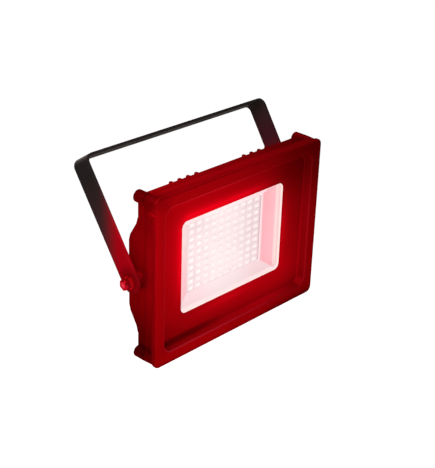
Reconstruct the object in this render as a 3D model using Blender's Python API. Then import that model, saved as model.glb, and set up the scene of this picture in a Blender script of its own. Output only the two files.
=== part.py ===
"""Slim LED floodlight, used as a red safelight, hanging in a U-shaped strap bracket.

Units are metres and +Z is up.  The world origin is the centre of the outer face of the
bracket's crossbar, where the lamp is screwed to a wall, ceiling or stand.  +X runs along the
crossbar, and the light leaves towards -Y.

The lamp is drawn in its own frame: x to the right, y backwards from the front face of the
frame ring, z up from the middle of that face.  The empty lamp_frame puts that frame in place,
and its parent tilt_axis lies on the line of the two pivot bolts.
"""

import math

import bmesh
import bpy
from mathutils import Matrix, Vector

# ---------------------------------------------------------------- driving dimensions
GAP = 0.0003                    # air left between two pieces that touch
PAST = 0.001                    # how far a cutting tool runs past the face it cuts

FRAME_WIDTH = 0.225
FRAME_HEIGHT = 0.172
FRAME_CORNER = 0.006            # outer corner radius of the front ring
FRAME_EDGE = 0.0022             # rounding of the front ring's outer edge
FLANGE_DEPTH = 0.004            # straight band behind the rounded edge
RIM_WIDTH = 0.0118
RIM_CORNER = 0.010              # corner radius of the rim's inner edge
RIM_CREST = 0.0008              # how far the rim's inner edge is eased
STEP_DEPTH = 0.008              # from the rim's face down to the sloping bezel
STEP_RUN = 0.003
STEP_CORNER = 0.009             # corner radius at the step's foot
GROOVE = 0.0008                 # shadow line behind the flange
WALL = 0.003
WINDOW_WIDTH = 0.1392
WINDOW_HEIGHT = 0.0956
WINDOW_CORNER = 0.0065
WINDOW_DEPTH = 0.010
LIP_THICKNESS = 0.0015
LIP_WIDTH = 0.005               # steeper band of the bezel round the window
LIP_RISE = 0.001
LIP_CORNER = 0.008              # corner radius where the steeper band begins
SEAM_DEPTH = 0.0152             # back of the front ring
SEAM_TAPER = 0.0023             # how far the side wall has drawn in at the seam
INNER_CORNER = 0.022            # corner radius of the cavity, clear of the corner screws

GLASS_OVERLAP = 0.0061          # how far the glass reaches past the window
GLASS_THICKNESS = 0.003
GLASS_CORNER = 0.007
GLASS_CHAMFER = 0.0004
GLASS_GASKET_THICKNESS = 0.0008
GLASS_GASKET_WIDTH = 0.0045
GLASS_RIB = 0.0019              # rib on the ring that locates the glass
GLASS_RIB_SHY = 0.0014          # the rib stops this far short of the glass's back
FRAME_GASKET_THICKNESS = 0.0006
FRAME_GASKET_WIDTH = 0.0016
FRAME_GASKET_INSET = 0.0009     # from the side wall at the seam to the gasket's edge
FRAME_GASKET_CORNER = 0.019

REFLECTOR_DEPTH = 0.0055
REFLECTOR_SHEET = 0.0008
REFLECTOR_OPENING_WIDTH = 0.1032
REFLECTOR_OPENING_HEIGHT = 0.0725
REFLECTOR_MARGIN = 0.0022       # from the window's edge out to the reflector's upper edge
REFLECTOR_FLANGE_CORNER = 0.008
REFLECTOR_FOOT_CORNER = 0.002

LED_COLUMNS = 10
LED_ROWS = 10
LED_PITCH_X = 0.010
LED_PITCH_Z = 0.00742
LED_LENGTH = 0.0064
LED_WIDTH = 0.0042
LED_HEIGHT = 0.0008
BOARD_WIDTH = 0.120
BOARD_HEIGHT = 0.092
BOARD_THICKNESS = 0.0016
BOARD_SCREW_INSET = 0.0035      # from the board's edges to its screws
PAD_THICKNESS = 0.0005
PAD_INSET = 0.001
PAD_CORNER = 0.002

FLOOR_THICKNESS = 0.0035
CAVITY_DRAFT = 0.002            # how far the cavity's side draws in at its floor
BACK_TAPER = 0.0045             # how far the side wall has drawn in at the back
BACK_EDGE = 0.0024              # rounding of the housing's back edge
FIN_THICKNESS = 0.0028
FIN_PITCH = 0.0108
FIN_FIRST = 0.0323              # the inmost fin's distance from the middle
LONG_FINS = 4
SHORT_FINS = 3
END_PLATE_X = 0.1057
END_PLATE_THICKNESS = 0.0036
FIN_ROOT = 0.002                # how deep a fin's foot is buried in the floor
# side view of a fin: half length, half length of its crown, height at the ends and at the crown
LONG_ARCH = (0.0804, 0.040, 0.003, 0.0135)
SHORT_ARCH = (0.059, 0.033, -0.0004, 0.0113)
EAR_FRONT = 0.0024
EAR_BACK = 0.0003               # the ears stand this far out of the housing's back
EAR_RADIUS = 0.006
EAR_X = 0.1062
EAR_Z = 0.0797
EAR_SHY = 0.0002                # the ears stop just short of the seam

BOX_WIDTH = 0.054               # driver box on the back
BOX_HEIGHT = 0.124
BOX_DEPTH = 0.017
BOX_CORNER = 0.004
COVER_THICKNESS = 0.002
COVER_CHAMFER = 0.0005
COVER_GASKET_THICKNESS = 0.0006
COVER_GASKET_INSET = 0.0006
BOX_POST_RADIUS = 0.0032
BOX_POST_X = 0.0205
BOX_POST_Z = 0.0555
BOX_POST_SHY = 0.0002           # the posts stop just short of the box's rim
BOX_SKIM = 0.0003               # how far the box's cavity cuts into the housing's back

# screws: head radius, head height, shank radius, width of the hexagon socket
M4_SCREW = (0.0037, 0.0023, 0.0020, 0.0025)
M3_SCREW = (0.0028, 0.0018, 0.0015, 0.0020)
M2_SCREW = (0.0024, 0.0011, 0.00125, 0.0013)
COUNTERBORE_RADIUS = 0.0042
COUNTERBORE_DEPTH = 0.003
FRAME_SCREW_TIP = 0.0072        # depth of the corner screws' ends inside the front ring
FRAME_HOLE_FLOOR = 0.0062
COVER_SCREW_LENGTH = 0.0105
COVER_HOLE_DEPTH = 0.010
BOARD_SCREW_SHY = 0.0011        # floor left past the ends of the LED board's screws
BOARD_HOLE_SHY = 0.0007
EARTH_SCREW_LENGTH = 0.0028
EARTH_HOLE_DEPTH = 0.0022
SOCKET_FLOOR = 0.35             # bottom of a screw's socket, as a share of the head's height
HEAD_SIDE = 0.6                 # height of the head's straight side, as a share
HEAD_TOP = 0.8                  # radius of the head's flat top, as a share

LEAD_Z = 0.0505                 # where the LED leads pass through the housing's floor
LEAD_SPACING = 0.0034
LEAD_RADIUS = 0.0008
LEAD_HOLE_RADIUS = 0.0036
EARTH_X = 0.0190
EARTH_Z = -0.0440
LUG_OUTER = 0.0033
LUG_THICKNESS = 0.0008
TONGUE_HALF_WIDTH = 0.0014
TONGUE_START = 0.0026
TONGUE_END = 0.0085

DRIVER_BOARD_LIFT = 0.003       # air under the driver board
DRIVER_BOARD_HALF_X = 0.0165
DRIVER_BOARD_HALF_Z = 0.046
DRIVER_BOARD_Z = 0.009
CORE_HALF_X = 0.0100            # transformer: its two flanges and the winding between them
CORE_HALF_Z = 0.0085
CORE_DEPTH = 0.0095
CORE_FLANGE = 0.0025
WINDING_INSET = 0.0012
CORE_Z = 0.022
# capacitors: name, radius, length, place of its left end
CAPACITORS = (("capacitor_input", 0.005, 0.015, -0.0155), ("capacitor_output", 0.004, 0.011, 0.0035))
CAPACITOR_Z = 0.002
CAN_EDGE = 0.0005
TERMINAL_HALF_X = 0.010
TERMINAL_HALF_Z = 0.0045
TERMINAL_DEPTH = 0.009
TERMINAL_Z = -0.028
TERMINAL_PITCH = 0.0062
WIRE_POCKET_RADIUS = 0.0018
WIRE_POCKET_Y = 0.004
CLAMP_HOLE_RADIUS = 0.0016
SMALL_CORNER = 0.001            # corner radius of the small driver parts

PIVOT_Y = 0.027
PIVOT_Z = -0.002
PIVOT_BOSS_RADIUS = 0.009
PIVOT_BOSS_FACE = 0.113         # distance of the boss face from the middle
PIVOT_BOSS_DEPTH = 0.020
BOLT_RADIUS = 0.003
BOLT_ENGAGEMENT = 0.013
BOLT_HEAD_FLATS = 0.010
BOLT_HEAD_HEIGHT = 0.0044
FRICTION_WASHER_THICKNESS = 0.0018
FLAT_WASHER_RADIUS = 0.0064
FLAT_WASHER_THICKNESS = 0.0016
SPRING_WASHER_RADIUS = 0.0054
SPRING_WASHER_THICKNESS = 0.0016
SPRING_WASHER_OPENING = math.radians(14)
BOLT_CHAMFER = 0.0006

STRAP_WIDTH = 0.022
STRAP_THICKNESS = 0.0028
STRAP_BEND = 0.008              # outer radius of the strap's two bends
STRAP_SPLAY = 0.0015            # the arms stand this much wider apart at the crossbar, each side
ARM_LENGTH = 0.1215             # from the pivot to the crossbar's outer face
BRACKET_LEAN = math.radians(34)
SLOT_X = 0.042
SLOT_LENGTH = 0.024
SLOT_WIDTH = 0.008

GLAND_THREAD_RADIUS = 0.006
GLAND_FLATS = 0.015
GLAND_BORE_RADIUS = 0.0042
GLAND_Y = 0.038
GLAND_COLLAR = 0.005            # height of the body's hexagon
GLAND_NECK = 0.0065             # threaded neck that the dome nut screws onto
GLAND_TAIL = 0.006              # threaded tail inside the driver box
LOCKNUT_HEIGHT = 0.0035
SEAL_TOP_SHY = 0.001
SEAL_STAND = 0.0015             # how far the seal stands out of the neck
SEAL_FLARE = 0.0008
DOME_HEIGHT = 0.0032
CORD_BORE_RADIUS = 0.0032

CORNER_STEPS = 5
ARC_STEPS = 6                   # steps round the strap's tips and bends
SLOT_STEPS = 8                  # steps round each end of a slot
ROUND_SIDES = 18
SMALL_SIDES = 12                # sides of screws and small holes
SMOOTH_ANGLE = math.radians(35)

# ---------------------------------------------------------------- places that follow from them
HALF_X = FRAME_WIDTH / 2
HALF_Z = FRAME_HEIGHT / 2
WINDOW_X = WINDOW_WIDTH / 2
WINDOW_Z = WINDOW_HEIGHT / 2

LIP_BACK = WINDOW_DEPTH + LIP_THICKNESS
GLASS_GASKET_FRONT = LIP_BACK + GAP
GLASS_FRONT = GLASS_GASKET_FRONT + GLASS_GASKET_THICKNESS + GAP
GLASS_BACK = GLASS_FRONT + GLASS_THICKNESS
REFLECTOR_FRONT = GLASS_BACK + GAP
REFLECTOR_FOOT = REFLECTOR_FRONT + REFLECTOR_DEPTH
BOARD_FRONT = REFLECTOR_FOOT + REFLECTOR_SHEET + GAP
BOARD_BACK = BOARD_FRONT + BOARD_THICKNESS
PAD_FRONT = BOARD_BACK + GAP
PAD_BACK = PAD_FRONT + PAD_THICKNESS
FLOOR_FRONT = PAD_BACK + GAP
FLOOR_BACK = FLOOR_FRONT + FLOOR_THICKNESS
FRAME_GASKET_FRONT = SEAM_DEPTH + GAP
HOUSING_FRONT = FRAME_GASKET_FRONT + FRAME_GASKET_THICKNESS + GAP
BOX_BACK = FLOOR_BACK + BOX_DEPTH
COVER_GASKET_FRONT = BOX_BACK + GAP
COVER_FRONT = COVER_GASKET_FRONT + COVER_GASKET_THICKNESS + GAP
COVER_BACK = COVER_FRONT + COVER_THICKNESS
DRIVER_BOARD_FRONT = FLOOR_BACK + DRIVER_BOARD_LIFT
DRIVER_BOARD_BACK = DRIVER_BOARD_FRONT + BOARD_THICKNESS
DRIVER_PARTS_FRONT = DRIVER_BOARD_BACK + GAP

GLASS_X = WINDOW_X + GLASS_OVERLAP
GLASS_Z = WINDOW_Z + GLASS_OVERLAP
BOARD_SCREW_X = BOARD_WIDTH / 2 - BOARD_SCREW_INSET
BOARD_SCREW_Z = BOARD_HEIGHT / 2 - BOARD_SCREW_INSET

FRICTION_WASHER_X = PIVOT_BOSS_FACE + GAP
STRAP_INNER_X = FRICTION_WASHER_X + FRICTION_WASHER_THICKNESS + GAP
STRAP_OUTER_X = STRAP_INNER_X + STRAP_THICKNESS
FLAT_WASHER_X = STRAP_OUTER_X + GAP
SPRING_WASHER_X = FLAT_WASHER_X + FLAT_WASHER_THICKNESS + GAP
BOLT_HEAD_X = SPRING_WASHER_X + SPRING_WASHER_THICKNESS + GAP

# ---------------------------------------------------------------- materials
CAST_RED = ((0.23, 0.004, 0.008), 0.42, 0.5)
BLACK_COAT = ((0.022, 0.018, 0.018), 0.45, 0.3)
STEEL = ((0.55, 0.53, 0.52), 0.3, 1.0)
ZINC = ((0.62, 0.60, 0.58), 0.35, 1.0)
CLEAR_GLASS = ((0.95, 0.90, 0.90), 0.05, 0.0)
BLACK_RUBBER = ((0.02, 0.02, 0.02), 0.8, 0.0)
GREY_FIBRE = ((0.12, 0.11, 0.11), 0.8, 0.0)
REFLECTOR_WHITE = ((0.90, 0.80, 0.80), 0.35, 0.0)
BOARD_WHITE = ((0.88, 0.80, 0.80), 0.4, 0.0)
PAD_GREY = ((0.45, 0.45, 0.47), 0.7, 0.0)
PCB_GREEN = ((0.02, 0.16, 0.06), 0.4, 0.0)
FERRITE = ((0.09, 0.085, 0.08), 0.6, 0.0)
CAN_BLUE = ((0.03, 0.05, 0.16), 0.35, 0.0)
TERMINAL_GREEN = ((0.04, 0.22, 0.10), 0.5, 0.0)
WIRE_RED = ((0.55, 0.02, 0.02), 0.45, 0.0)
WIRE_BLACK = ((0.02, 0.02, 0.02), 0.45, 0.0)
NYLON_BLACK = ((0.025, 0.025, 0.027), 0.5, 0.0)
BRASS = ((0.72, 0.53, 0.24), 0.3, 1.0)


def principled(name, look):
    """Make a Principled material from (colour, roughness, metallic)."""
    colour, roughness, metallic = look
    material = bpy.data.materials.new(name)
    material.use_nodes = True
    shader = material.node_tree.nodes["Principled BSDF"]
    shader.inputs["Base Color"].default_value = (*colour, 1.0)
    shader.inputs["Roughness"].default_value = roughness
    shader.inputs["Metallic"].default_value = metallic
    material.diffuse_color = (*colour, 1.0)
    return material


# ---------------------------------------------------------------- mesh tools
def empty(name, parent, location, rotation=(0.0, 0.0, 0.0)):
    """A named frame for other objects to hang from."""
    frame = bpy.data.objects.new(name, None)
    frame.location = location
    frame.rotation_euler = rotation
    frame.parent = parent
    bpy.context.collection.objects.link(frame)
    return frame


def solid(name, mesh_data, look=None, parent=None, location=(0.0, 0.0, 0.0), rotation=(0.0, 0.0, 0.0)):
    """Link a mesh as one named object, shaded smooth except at its edges."""
    mesh_data.shade_smooth()
    mesh_data.set_sharp_from_angle(angle=SMOOTH_ANGLE)
    piece = bpy.data.objects.new(name, mesh_data)
    piece.location = location
    piece.rotation_euler = rotation
    piece.parent = parent
    bpy.context.collection.objects.link(piece)
    if look is not None:
        piece.data.materials.append(principled(name, look))
    return piece


def mesh_from(name, bm):
    """Turn a bmesh into a mesh with its faces pointing out."""
    bmesh.ops.recalc_face_normals(bm, faces=bm.faces)
    mesh_data = bpy.data.meshes.new(name)
    bm.to_mesh(mesh_data)
    bm.free()
    return mesh_data


def loft(name, loops, ring=False):
    """Skin a row of loops of equal length.

    A ring joins its last loop to its first, so the loops run round a closed section.
    Otherwise the two end loops are capped.
    """
    bm = bmesh.new()
    rows = [[bm.verts.new(point) for point in loop] for loop in loops]
    pairs = list(zip(rows, rows[1:]))
    if ring:
        pairs.append((rows[-1], rows[0]))
    else:
        bm.faces.new(rows[0])
        bm.faces.new(rows[-1])
    for row, following in pairs:
        for index, vert in enumerate(row):
            after = (index + 1) % len(row)
            bm.faces.new((vert, row[after], following[after], following[index]))
    return mesh_from(name, bm)


def rectangle_loop(half_x, half_z, corner, depth):
    """A rounded rectangle facing the front, at one depth."""
    points = []
    for quarter, (side_x, side_z) in enumerate(((1, 1), (-1, 1), (-1, -1), (1, -1))):
        for step in range(CORNER_STEPS + 1):
            angle = (quarter + step / CORNER_STEPS) * math.pi / 2
            x = side_x * (half_x - corner) + corner * math.cos(angle)
            z = side_z * (half_z - corner) + corner * math.sin(angle)
            points.append((x, depth, z))
    return points


def round_loop(radius, height, sides=ROUND_SIDES):
    """A circle about the local Z axis."""
    turns = [2 * math.pi * index / sides for index in range(sides)]
    return [(radius * math.cos(turn), radius * math.sin(turn), height) for turn in turns]


def hex_loop(flats, height, sides=ROUND_SIDES):
    """A hexagon about the local Z axis with as many points as a circle."""
    points = []
    for index in range(sides):
        turn = 2 * math.pi * index / sides
        from_flat = (turn % (math.pi / 3)) - math.pi / 6
        radius = flats / 2 / math.cos(from_flat)
        points.append((radius * math.cos(turn), radius * math.sin(turn), height))
    return points


def cylinder(radius, start, end, sides=ROUND_SIDES):
    """A plain round bar along the local Z axis."""
    return loft("cylinder", [round_loop(radius, height, sides) for height in (start, end)])


def small_bar(radius, start, end):
    """A round bar with few sides, for screw holes and small posts."""
    return cylinder(radius, start, end, SMALL_SIDES)


def prism(outline, start, end):
    """Extrude a closed (y, z) outline along X."""
    return loft("prism", [[(x, y, z) for y, z in outline] for x in (start, end)])


def placed(mesh_data, location=(0.0, 0.0, 0.0), turn=0.0, axis="X"):
    """Move a mesh's points, so a tool can be built along Z and used anywhere."""
    mesh_data.transform(Matrix.Translation(Vector(location)) @ Matrix.Rotation(turn, 4, axis))
    return mesh_data


def along_y(mesh_data, location):
    """Turn a mesh built along Z so that it runs backwards along Y."""
    return placed(mesh_data, location, -math.pi / 2, "X")


def along_x(mesh_data, location, side):
    """Turn a mesh built along Z so that it runs outwards along X on one side."""
    return placed(mesh_data, location, side * math.pi / 2, "Y")


def combine(piece, tools, operation):
    """Union or cut the tools, one after another, and keep the resulting mesh."""
    for tool_mesh in tools:
        tool = bpy.data.objects.new("tool", tool_mesh)
        tool.hide_render = True
        tool.display_type = "WIRE"
        tool.parent = piece.parent
        tool.location = piece.location
        tool.rotation_euler = piece.rotation_euler
        bpy.context.collection.objects.link(tool)
        step = piece.modifiers.new("combine", "BOOLEAN")
        step.operation = operation
        step.solver = "EXACT"
        step.object = tool
        bpy.context.view_layer.update()
        view = bpy.context.evaluated_depsgraph_get()
        result = bpy.data.meshes.new_from_object(piece.evaluated_get(view))
        piece.modifiers.clear()
        previous = piece.data
        result.name = previous.name
        piece.data = result
        bpy.data.meshes.remove(previous)
        bpy.data.objects.remove(tool)
    piece.data.shade_smooth()
    piece.data.set_sharp_from_angle(angle=SMOOTH_ANGLE)


def corners(x, z):
    """The four places at plus and minus x and z, clockwise from the upper left."""
    return ((-x, z), (x, z), (x, -z), (-x, -z))


def washer_mesh(name, inner, outer, thickness):
    """A flat ring with its lower face at height 0."""
    return loft(name, [
        round_loop(inner, 0.0),
        round_loop(outer, 0.0),
        round_loop(outer, thickness),
        round_loop(inner, thickness),
    ], ring=True)


def hole_radius(screw):
    """Radius of the hole that a screw of this size goes into."""
    return screw[2] + GAP


# ---------------------------------------------------------------- front ring and glass
def front_ring_loops():
    """The section of the front ring, as rounded rectangles from the outer edge inwards."""
    edge = FRAME_EDGE
    diagonal = edge * (1 - math.sqrt(0.5))
    corner = FRAME_CORNER
    rim_inner = RIM_WIDTH + RIM_CREST / 2
    foot = rim_inner + STEP_RUN
    shell = WALL * 0.8
    rib_back = GLASS_BACK - GLASS_RIB_SHY
    rib_x = GLASS_X + GAP
    rib_z = GLASS_Z + GAP
    rib_corner = GLASS_CORNER + GAP

    def inset(distance, radius, depth):
        return rectangle_loop(HALF_X - distance, HALF_Z - distance, radius, depth)

    def outset(distance, radius, depth):
        return rectangle_loop(rib_x + distance, rib_z + distance, radius, depth)

    return [
        inset(edge, corner - edge, 0.0),
        inset(diagonal, corner - diagonal, diagonal),
        inset(0.0, corner, edge),
        inset(0.0, corner, FLANGE_DEPTH),
        inset(GROOVE, corner - GROOVE, FLANGE_DEPTH + GROOVE),
        inset(SEAM_TAPER, corner - GROOVE, SEAM_DEPTH),
        inset(SEAM_TAPER + WALL, INNER_CORNER, SEAM_DEPTH),
        inset(GROOVE + WALL, INNER_CORNER, WALL),
        inset(foot - STEP_RUN - shell, RIM_CORNER, WALL),
        inset(foot - shell, RIM_CORNER, LIP_BACK),
        outset(GLASS_RIB, rib_corner + GLASS_RIB, LIP_BACK),
        outset(GLASS_RIB, rib_corner + GLASS_RIB, rib_back),
        outset(0.0, rib_corner, rib_back),
        outset(0.0, rib_corner, LIP_BACK),
        rectangle_loop(WINDOW_X, WINDOW_Z, WINDOW_CORNER, LIP_BACK),
        rectangle_loop(WINDOW_X, WINDOW_Z, WINDOW_CORNER, WINDOW_DEPTH),
        rectangle_loop(WINDOW_X + LIP_WIDTH, WINDOW_Z + LIP_WIDTH, LIP_CORNER, WINDOW_DEPTH - LIP_RISE),
        inset(foot, STEP_CORNER, STEP_DEPTH),
        inset(rim_inner, RIM_CORNER, RIM_CREST),
        inset(rim_inner - RIM_CREST, RIM_CORNER + RIM_CREST, 0.0),
    ]


def make_front_frame(parent):
    """Die-cast ring with a stepped rim, a sloping bezel and the window opening."""
    piece = solid("front_frame", loft("front_frame", front_ring_loops(), ring=True), CAST_RED, parent)
    ears = [
        along_y(cylinder(EAR_RADIUS, EAR_FRONT, SEAM_DEPTH - EAR_SHY), (x, 0, z))
        for x, z in corners(EAR_X, EAR_Z)
    ]
    combine(piece, ears, "UNION")
    holes = [
        along_y(small_bar(hole_radius(M4_SCREW), FRAME_HOLE_FLOOR, SEAM_DEPTH + PAST), (x, 0, z))
        for x, z in corners(EAR_X, EAR_Z)
    ]
    combine(piece, holes, "DIFFERENCE")


def plate_loops(half_x, half_z, corner, front, back, chamfer):
    """A flat plate with small chamfers on its two faces."""
    return [
        rectangle_loop(half_x - chamfer, half_z - chamfer, corner, front),
        rectangle_loop(half_x, half_z, corner, front + chamfer),
        rectangle_loop(half_x, half_z, corner, back - chamfer),
        rectangle_loop(half_x - chamfer, half_z - chamfer, corner, back),
    ]


def band_loops(half_x, half_z, corner, width, inner_corner, front, back):
    """A flat gasket: a rectangular band of one width."""
    return [
        rectangle_loop(half_x, half_z, corner, front),
        rectangle_loop(half_x, half_z, corner, back),
        rectangle_loop(half_x - width, half_z - width, inner_corner, back),
        rectangle_loop(half_x - width, half_z - width, inner_corner, front),
    ]


def make_glass(parent):
    """Tempered glass pane and the soft band that seals it to the back of the lip."""
    pane = plate_loops(GLASS_X, GLASS_Z, GLASS_CORNER, GLASS_FRONT, GLASS_BACK, GLASS_CHAMFER)
    solid("front_glass", loft("front_glass", pane), CLEAR_GLASS, parent)
    back = GLASS_GASKET_FRONT + GLASS_GASKET_THICKNESS
    inner_corner = GLASS_CORNER - GLASS_GASKET_WIDTH / 2
    band = band_loops(GLASS_X, GLASS_Z, GLASS_CORNER, GLASS_GASKET_WIDTH, inner_corner,
                      GLASS_GASKET_FRONT, back)
    solid("glass_gasket", loft("glass_gasket", band, ring=True), BLACK_RUBBER, parent)


def make_frame_gasket(parent):
    """Silicone seal between the front ring and the housing, passing inside the corner screws."""
    side = SEAM_TAPER + FRAME_GASKET_INSET
    back = FRAME_GASKET_FRONT + FRAME_GASKET_THICKNESS
    inner_corner = FRAME_GASKET_CORNER + FRAME_GASKET_WIDTH
    band = band_loops(HALF_X - side, HALF_Z - side, FRAME_GASKET_CORNER, FRAME_GASKET_WIDTH,
                      inner_corner, FRAME_GASKET_FRONT, back)
    solid("frame_gasket", loft("frame_gasket", band, ring=True), BLACK_RUBBER, parent)


# ---------------------------------------------------------------- light source
def make_reflector(parent):
    """Thin white tray with sloping sides, open in the middle round the LED field."""
    open_x = REFLECTOR_OPENING_WIDTH / 2
    open_z = REFLECTOR_OPENING_HEIGHT / 2
    brow_x = WINDOW_X + REFLECTOR_MARGIN
    brow_z = WINDOW_Z + REFLECTOR_MARGIN
    sheet = REFLECTOR_SHEET
    loops = [
        rectangle_loop(GLASS_X, GLASS_Z, REFLECTOR_FLANGE_CORNER, REFLECTOR_FRONT),
        rectangle_loop(brow_x, brow_z, WINDOW_CORNER, REFLECTOR_FRONT),
        rectangle_loop(open_x, open_z, REFLECTOR_FOOT_CORNER, REFLECTOR_FOOT),
        rectangle_loop(open_x, open_z, REFLECTOR_FOOT_CORNER, REFLECTOR_FOOT + sheet),
        rectangle_loop(brow_x + sheet, brow_z + sheet, WINDOW_CORNER, REFLECTOR_FRONT + sheet),
        rectangle_loop(GLASS_X, GLASS_Z, REFLECTOR_FLANGE_CORNER, REFLECTOR_FRONT + sheet),
    ]
    solid("reflector", loft("reflector", loops, ring=True), REFLECTOR_WHITE, parent)


def led_places(count, pitch):
    """Middles of a centred row of LEDs."""
    return [(index - (count - 1) / 2) * pitch for index in range(count)]


def board_lines(half, places, size):
    """Board edge, then both sides of every LED, then the other edge."""
    lines = [-half]
    for place in places:
        lines.extend((place - size / 2, place + size / 2))
    lines.append(half)
    return lines


def led_board_mesh():
    """Aluminium-core board whose LED packages stand up as small blocks."""
    lines_x = board_lines(BOARD_WIDTH / 2, led_places(LED_COLUMNS, LED_PITCH_X), LED_LENGTH)
    lines_z = board_lines(BOARD_HEIGHT / 2, led_places(LED_ROWS, LED_PITCH_Z), LED_WIDTH)
    bm = bmesh.new()
    grid = [[bm.verts.new((x, BOARD_FRONT, z)) for z in lines_z] for x in lines_x]
    packages = []
    for column in range(len(lines_x) - 1):
        for row in range(len(lines_z) - 1):
            square = (grid[column][row], grid[column + 1][row],
                      grid[column + 1][row + 1], grid[column][row + 1])
            face = bm.faces.new(square)
            if column % 2 == 1 and row % 2 == 1:
                packages.append(face)
    rim = [edge for edge in bm.edges if edge.is_boundary]
    wall = bmesh.ops.extrude_edge_only(bm, edges=rim)["geom"]
    lower = [item for item in wall if isinstance(item, bmesh.types.BMVert)]
    bmesh.ops.translate(bm, verts=lower, vec=(0, BOARD_THICKNESS, 0))
    bmesh.ops.holes_fill(bm, edges=[edge for edge in bm.edges if edge.is_boundary])
    raised = bmesh.ops.extrude_discrete_faces(bm, faces=packages)["faces"]
    tops = {vert for face in raised for vert in face.verts}
    bmesh.ops.translate(bm, verts=list(tops), vec=(0, -LED_HEIGHT, 0))
    return mesh_from("led_board", bm)


def screw_mesh(size, length):
    """Socket screw along Z, head up, with the underside of the head at height 0."""
    head_radius, head_height, shank_radius, socket_flats = size
    sides = SMALL_SIDES
    return loft("screw", [
        hex_loop(socket_flats, head_height * SOCKET_FLOOR, sides),
        hex_loop(socket_flats, head_height, sides),
        round_loop(head_radius * HEAD_TOP, head_height, sides),
        round_loop(head_radius, head_height * HEAD_SIDE, sides),
        round_loop(head_radius, 0.0, sides),
        round_loop(shank_radius, 0.0, sides),
        round_loop(shank_radius, -length, sides),
    ])


def screw_from_behind(size, length):
    """A screw whose head faces backwards, with the underside of its head at the origin."""
    return along_y(screw_mesh(size, length), (0, 0, 0))


def drilled(piece, radius, front, back, places):
    """Drill a round hole from front to back at each place."""
    combine(piece, [along_y(small_bar(radius, front - PAST, back + PAST), (x, 0, z)) for x, z in places],
            "DIFFERENCE")


def make_led_board(parent):
    """LED board, the pad under it and the four screws that hold both to the housing floor."""
    places = corners(BOARD_SCREW_X, BOARD_SCREW_Z)
    board = solid("led_board", led_board_mesh(), BOARD_WHITE, parent)
    drilled(board, hole_radius(M2_SCREW), BOARD_FRONT, BOARD_BACK, places)
    pad_loops = [
        rectangle_loop(BOARD_WIDTH / 2 - PAD_INSET, BOARD_HEIGHT / 2 - PAD_INSET, PAD_CORNER, depth)
        for depth in (PAD_FRONT, PAD_BACK)
    ]
    pad = solid("thermal_pad", loft("thermal_pad", pad_loops), PAD_GREY, parent)
    drilled(pad, hole_radius(M2_SCREW), PAD_FRONT, PAD_BACK, places)
    head_seat = BOARD_FRONT - GAP
    length = FLOOR_BACK - BOARD_SCREW_SHY - head_seat
    for number, (x, z) in enumerate(places, start=1):
        screw = screw_from_behind(M2_SCREW, length)
        screw.transform(Matrix.Rotation(math.pi, 4, "X"))
        solid(f"board_screw_{number}", screw, STEEL, parent, (x, head_seat, z))


# ---------------------------------------------------------------- housing
def smooth_step(share):
    """Ease from 0 to 1 with level ends."""
    return share * share * (3 - 2 * share)


def arch_outline(arch):
    """Side view of a fin: level crown, eased shoulders, foot buried in the housing's floor."""
    half_length, crown_half, end_height, crown_height = arch
    steps = 4
    foot = FLOOR_BACK - FIN_ROOT
    shoulder = []
    for index in range(steps + 1):
        share = index / steps
        along = half_length + (crown_half - half_length) * share
        height = end_height + (crown_height - end_height) * smooth_step(share)
        shoulder.append((FLOOR_BACK + height, along))
    lower = [(depth, -along) for depth, along in reversed(shoulder)]
    return [(foot, half_length)] + shoulder + lower + [(foot, -half_length)]


def fin_meshes():
    """Two groups of long fins, the short arched fins outside them, and the two end plates."""
    half_fin = FIN_THICKNESS / 2
    half_plate = END_PLATE_THICKNESS / 2
    long_arch = arch_outline(LONG_ARCH)
    short_arch = arch_outline(SHORT_ARCH)
    meshes = []
    for side in (-1, 1):
        for index in range(LONG_FINS + SHORT_FINS):
            middle = side * (FIN_FIRST + index * FIN_PITCH)
            outline = long_arch if index < LONG_FINS else short_arch
            meshes.append(prism(outline, middle - half_fin, middle + half_fin))
        middle = side * END_PLATE_X
        meshes.append(prism(short_arch, middle - half_plate, middle + half_plate))
    return meshes


def housing_tray_loops():
    """Tray of the housing: its floor, front edge, tapering side wall and rounded back edge."""
    corner = FRAME_CORNER - GROOVE
    inner = SEAM_TAPER + WALL
    floor = inner + CAVITY_DRAFT
    back = BACK_TAPER
    edge = BACK_EDGE
    diagonal = edge * (1 - math.sqrt(0.5))
    return [
        rectangle_loop(HALF_X - floor, HALF_Z - floor, INNER_CORNER - CAVITY_DRAFT, FLOOR_FRONT),
        rectangle_loop(HALF_X - inner, HALF_Z - inner, INNER_CORNER, HOUSING_FRONT),
        rectangle_loop(HALF_X - SEAM_TAPER, HALF_Z - SEAM_TAPER, corner, HOUSING_FRONT),
        rectangle_loop(HALF_X - back, HALF_Z - back, corner, FLOOR_BACK - edge),
        rectangle_loop(HALF_X - back - diagonal, HALF_Z - back - diagonal, corner, FLOOR_BACK - diagonal),
        rectangle_loop(HALF_X - back - edge, HALF_Z - back - edge, corner, FLOOR_BACK),
    ]


def box_block(half_x, half_z, corner, front, back):
    """A block with rounded upright corners, facing backwards."""
    return loft("block", [rectangle_loop(half_x, half_z, corner, depth) for depth in (front, back)])


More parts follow.
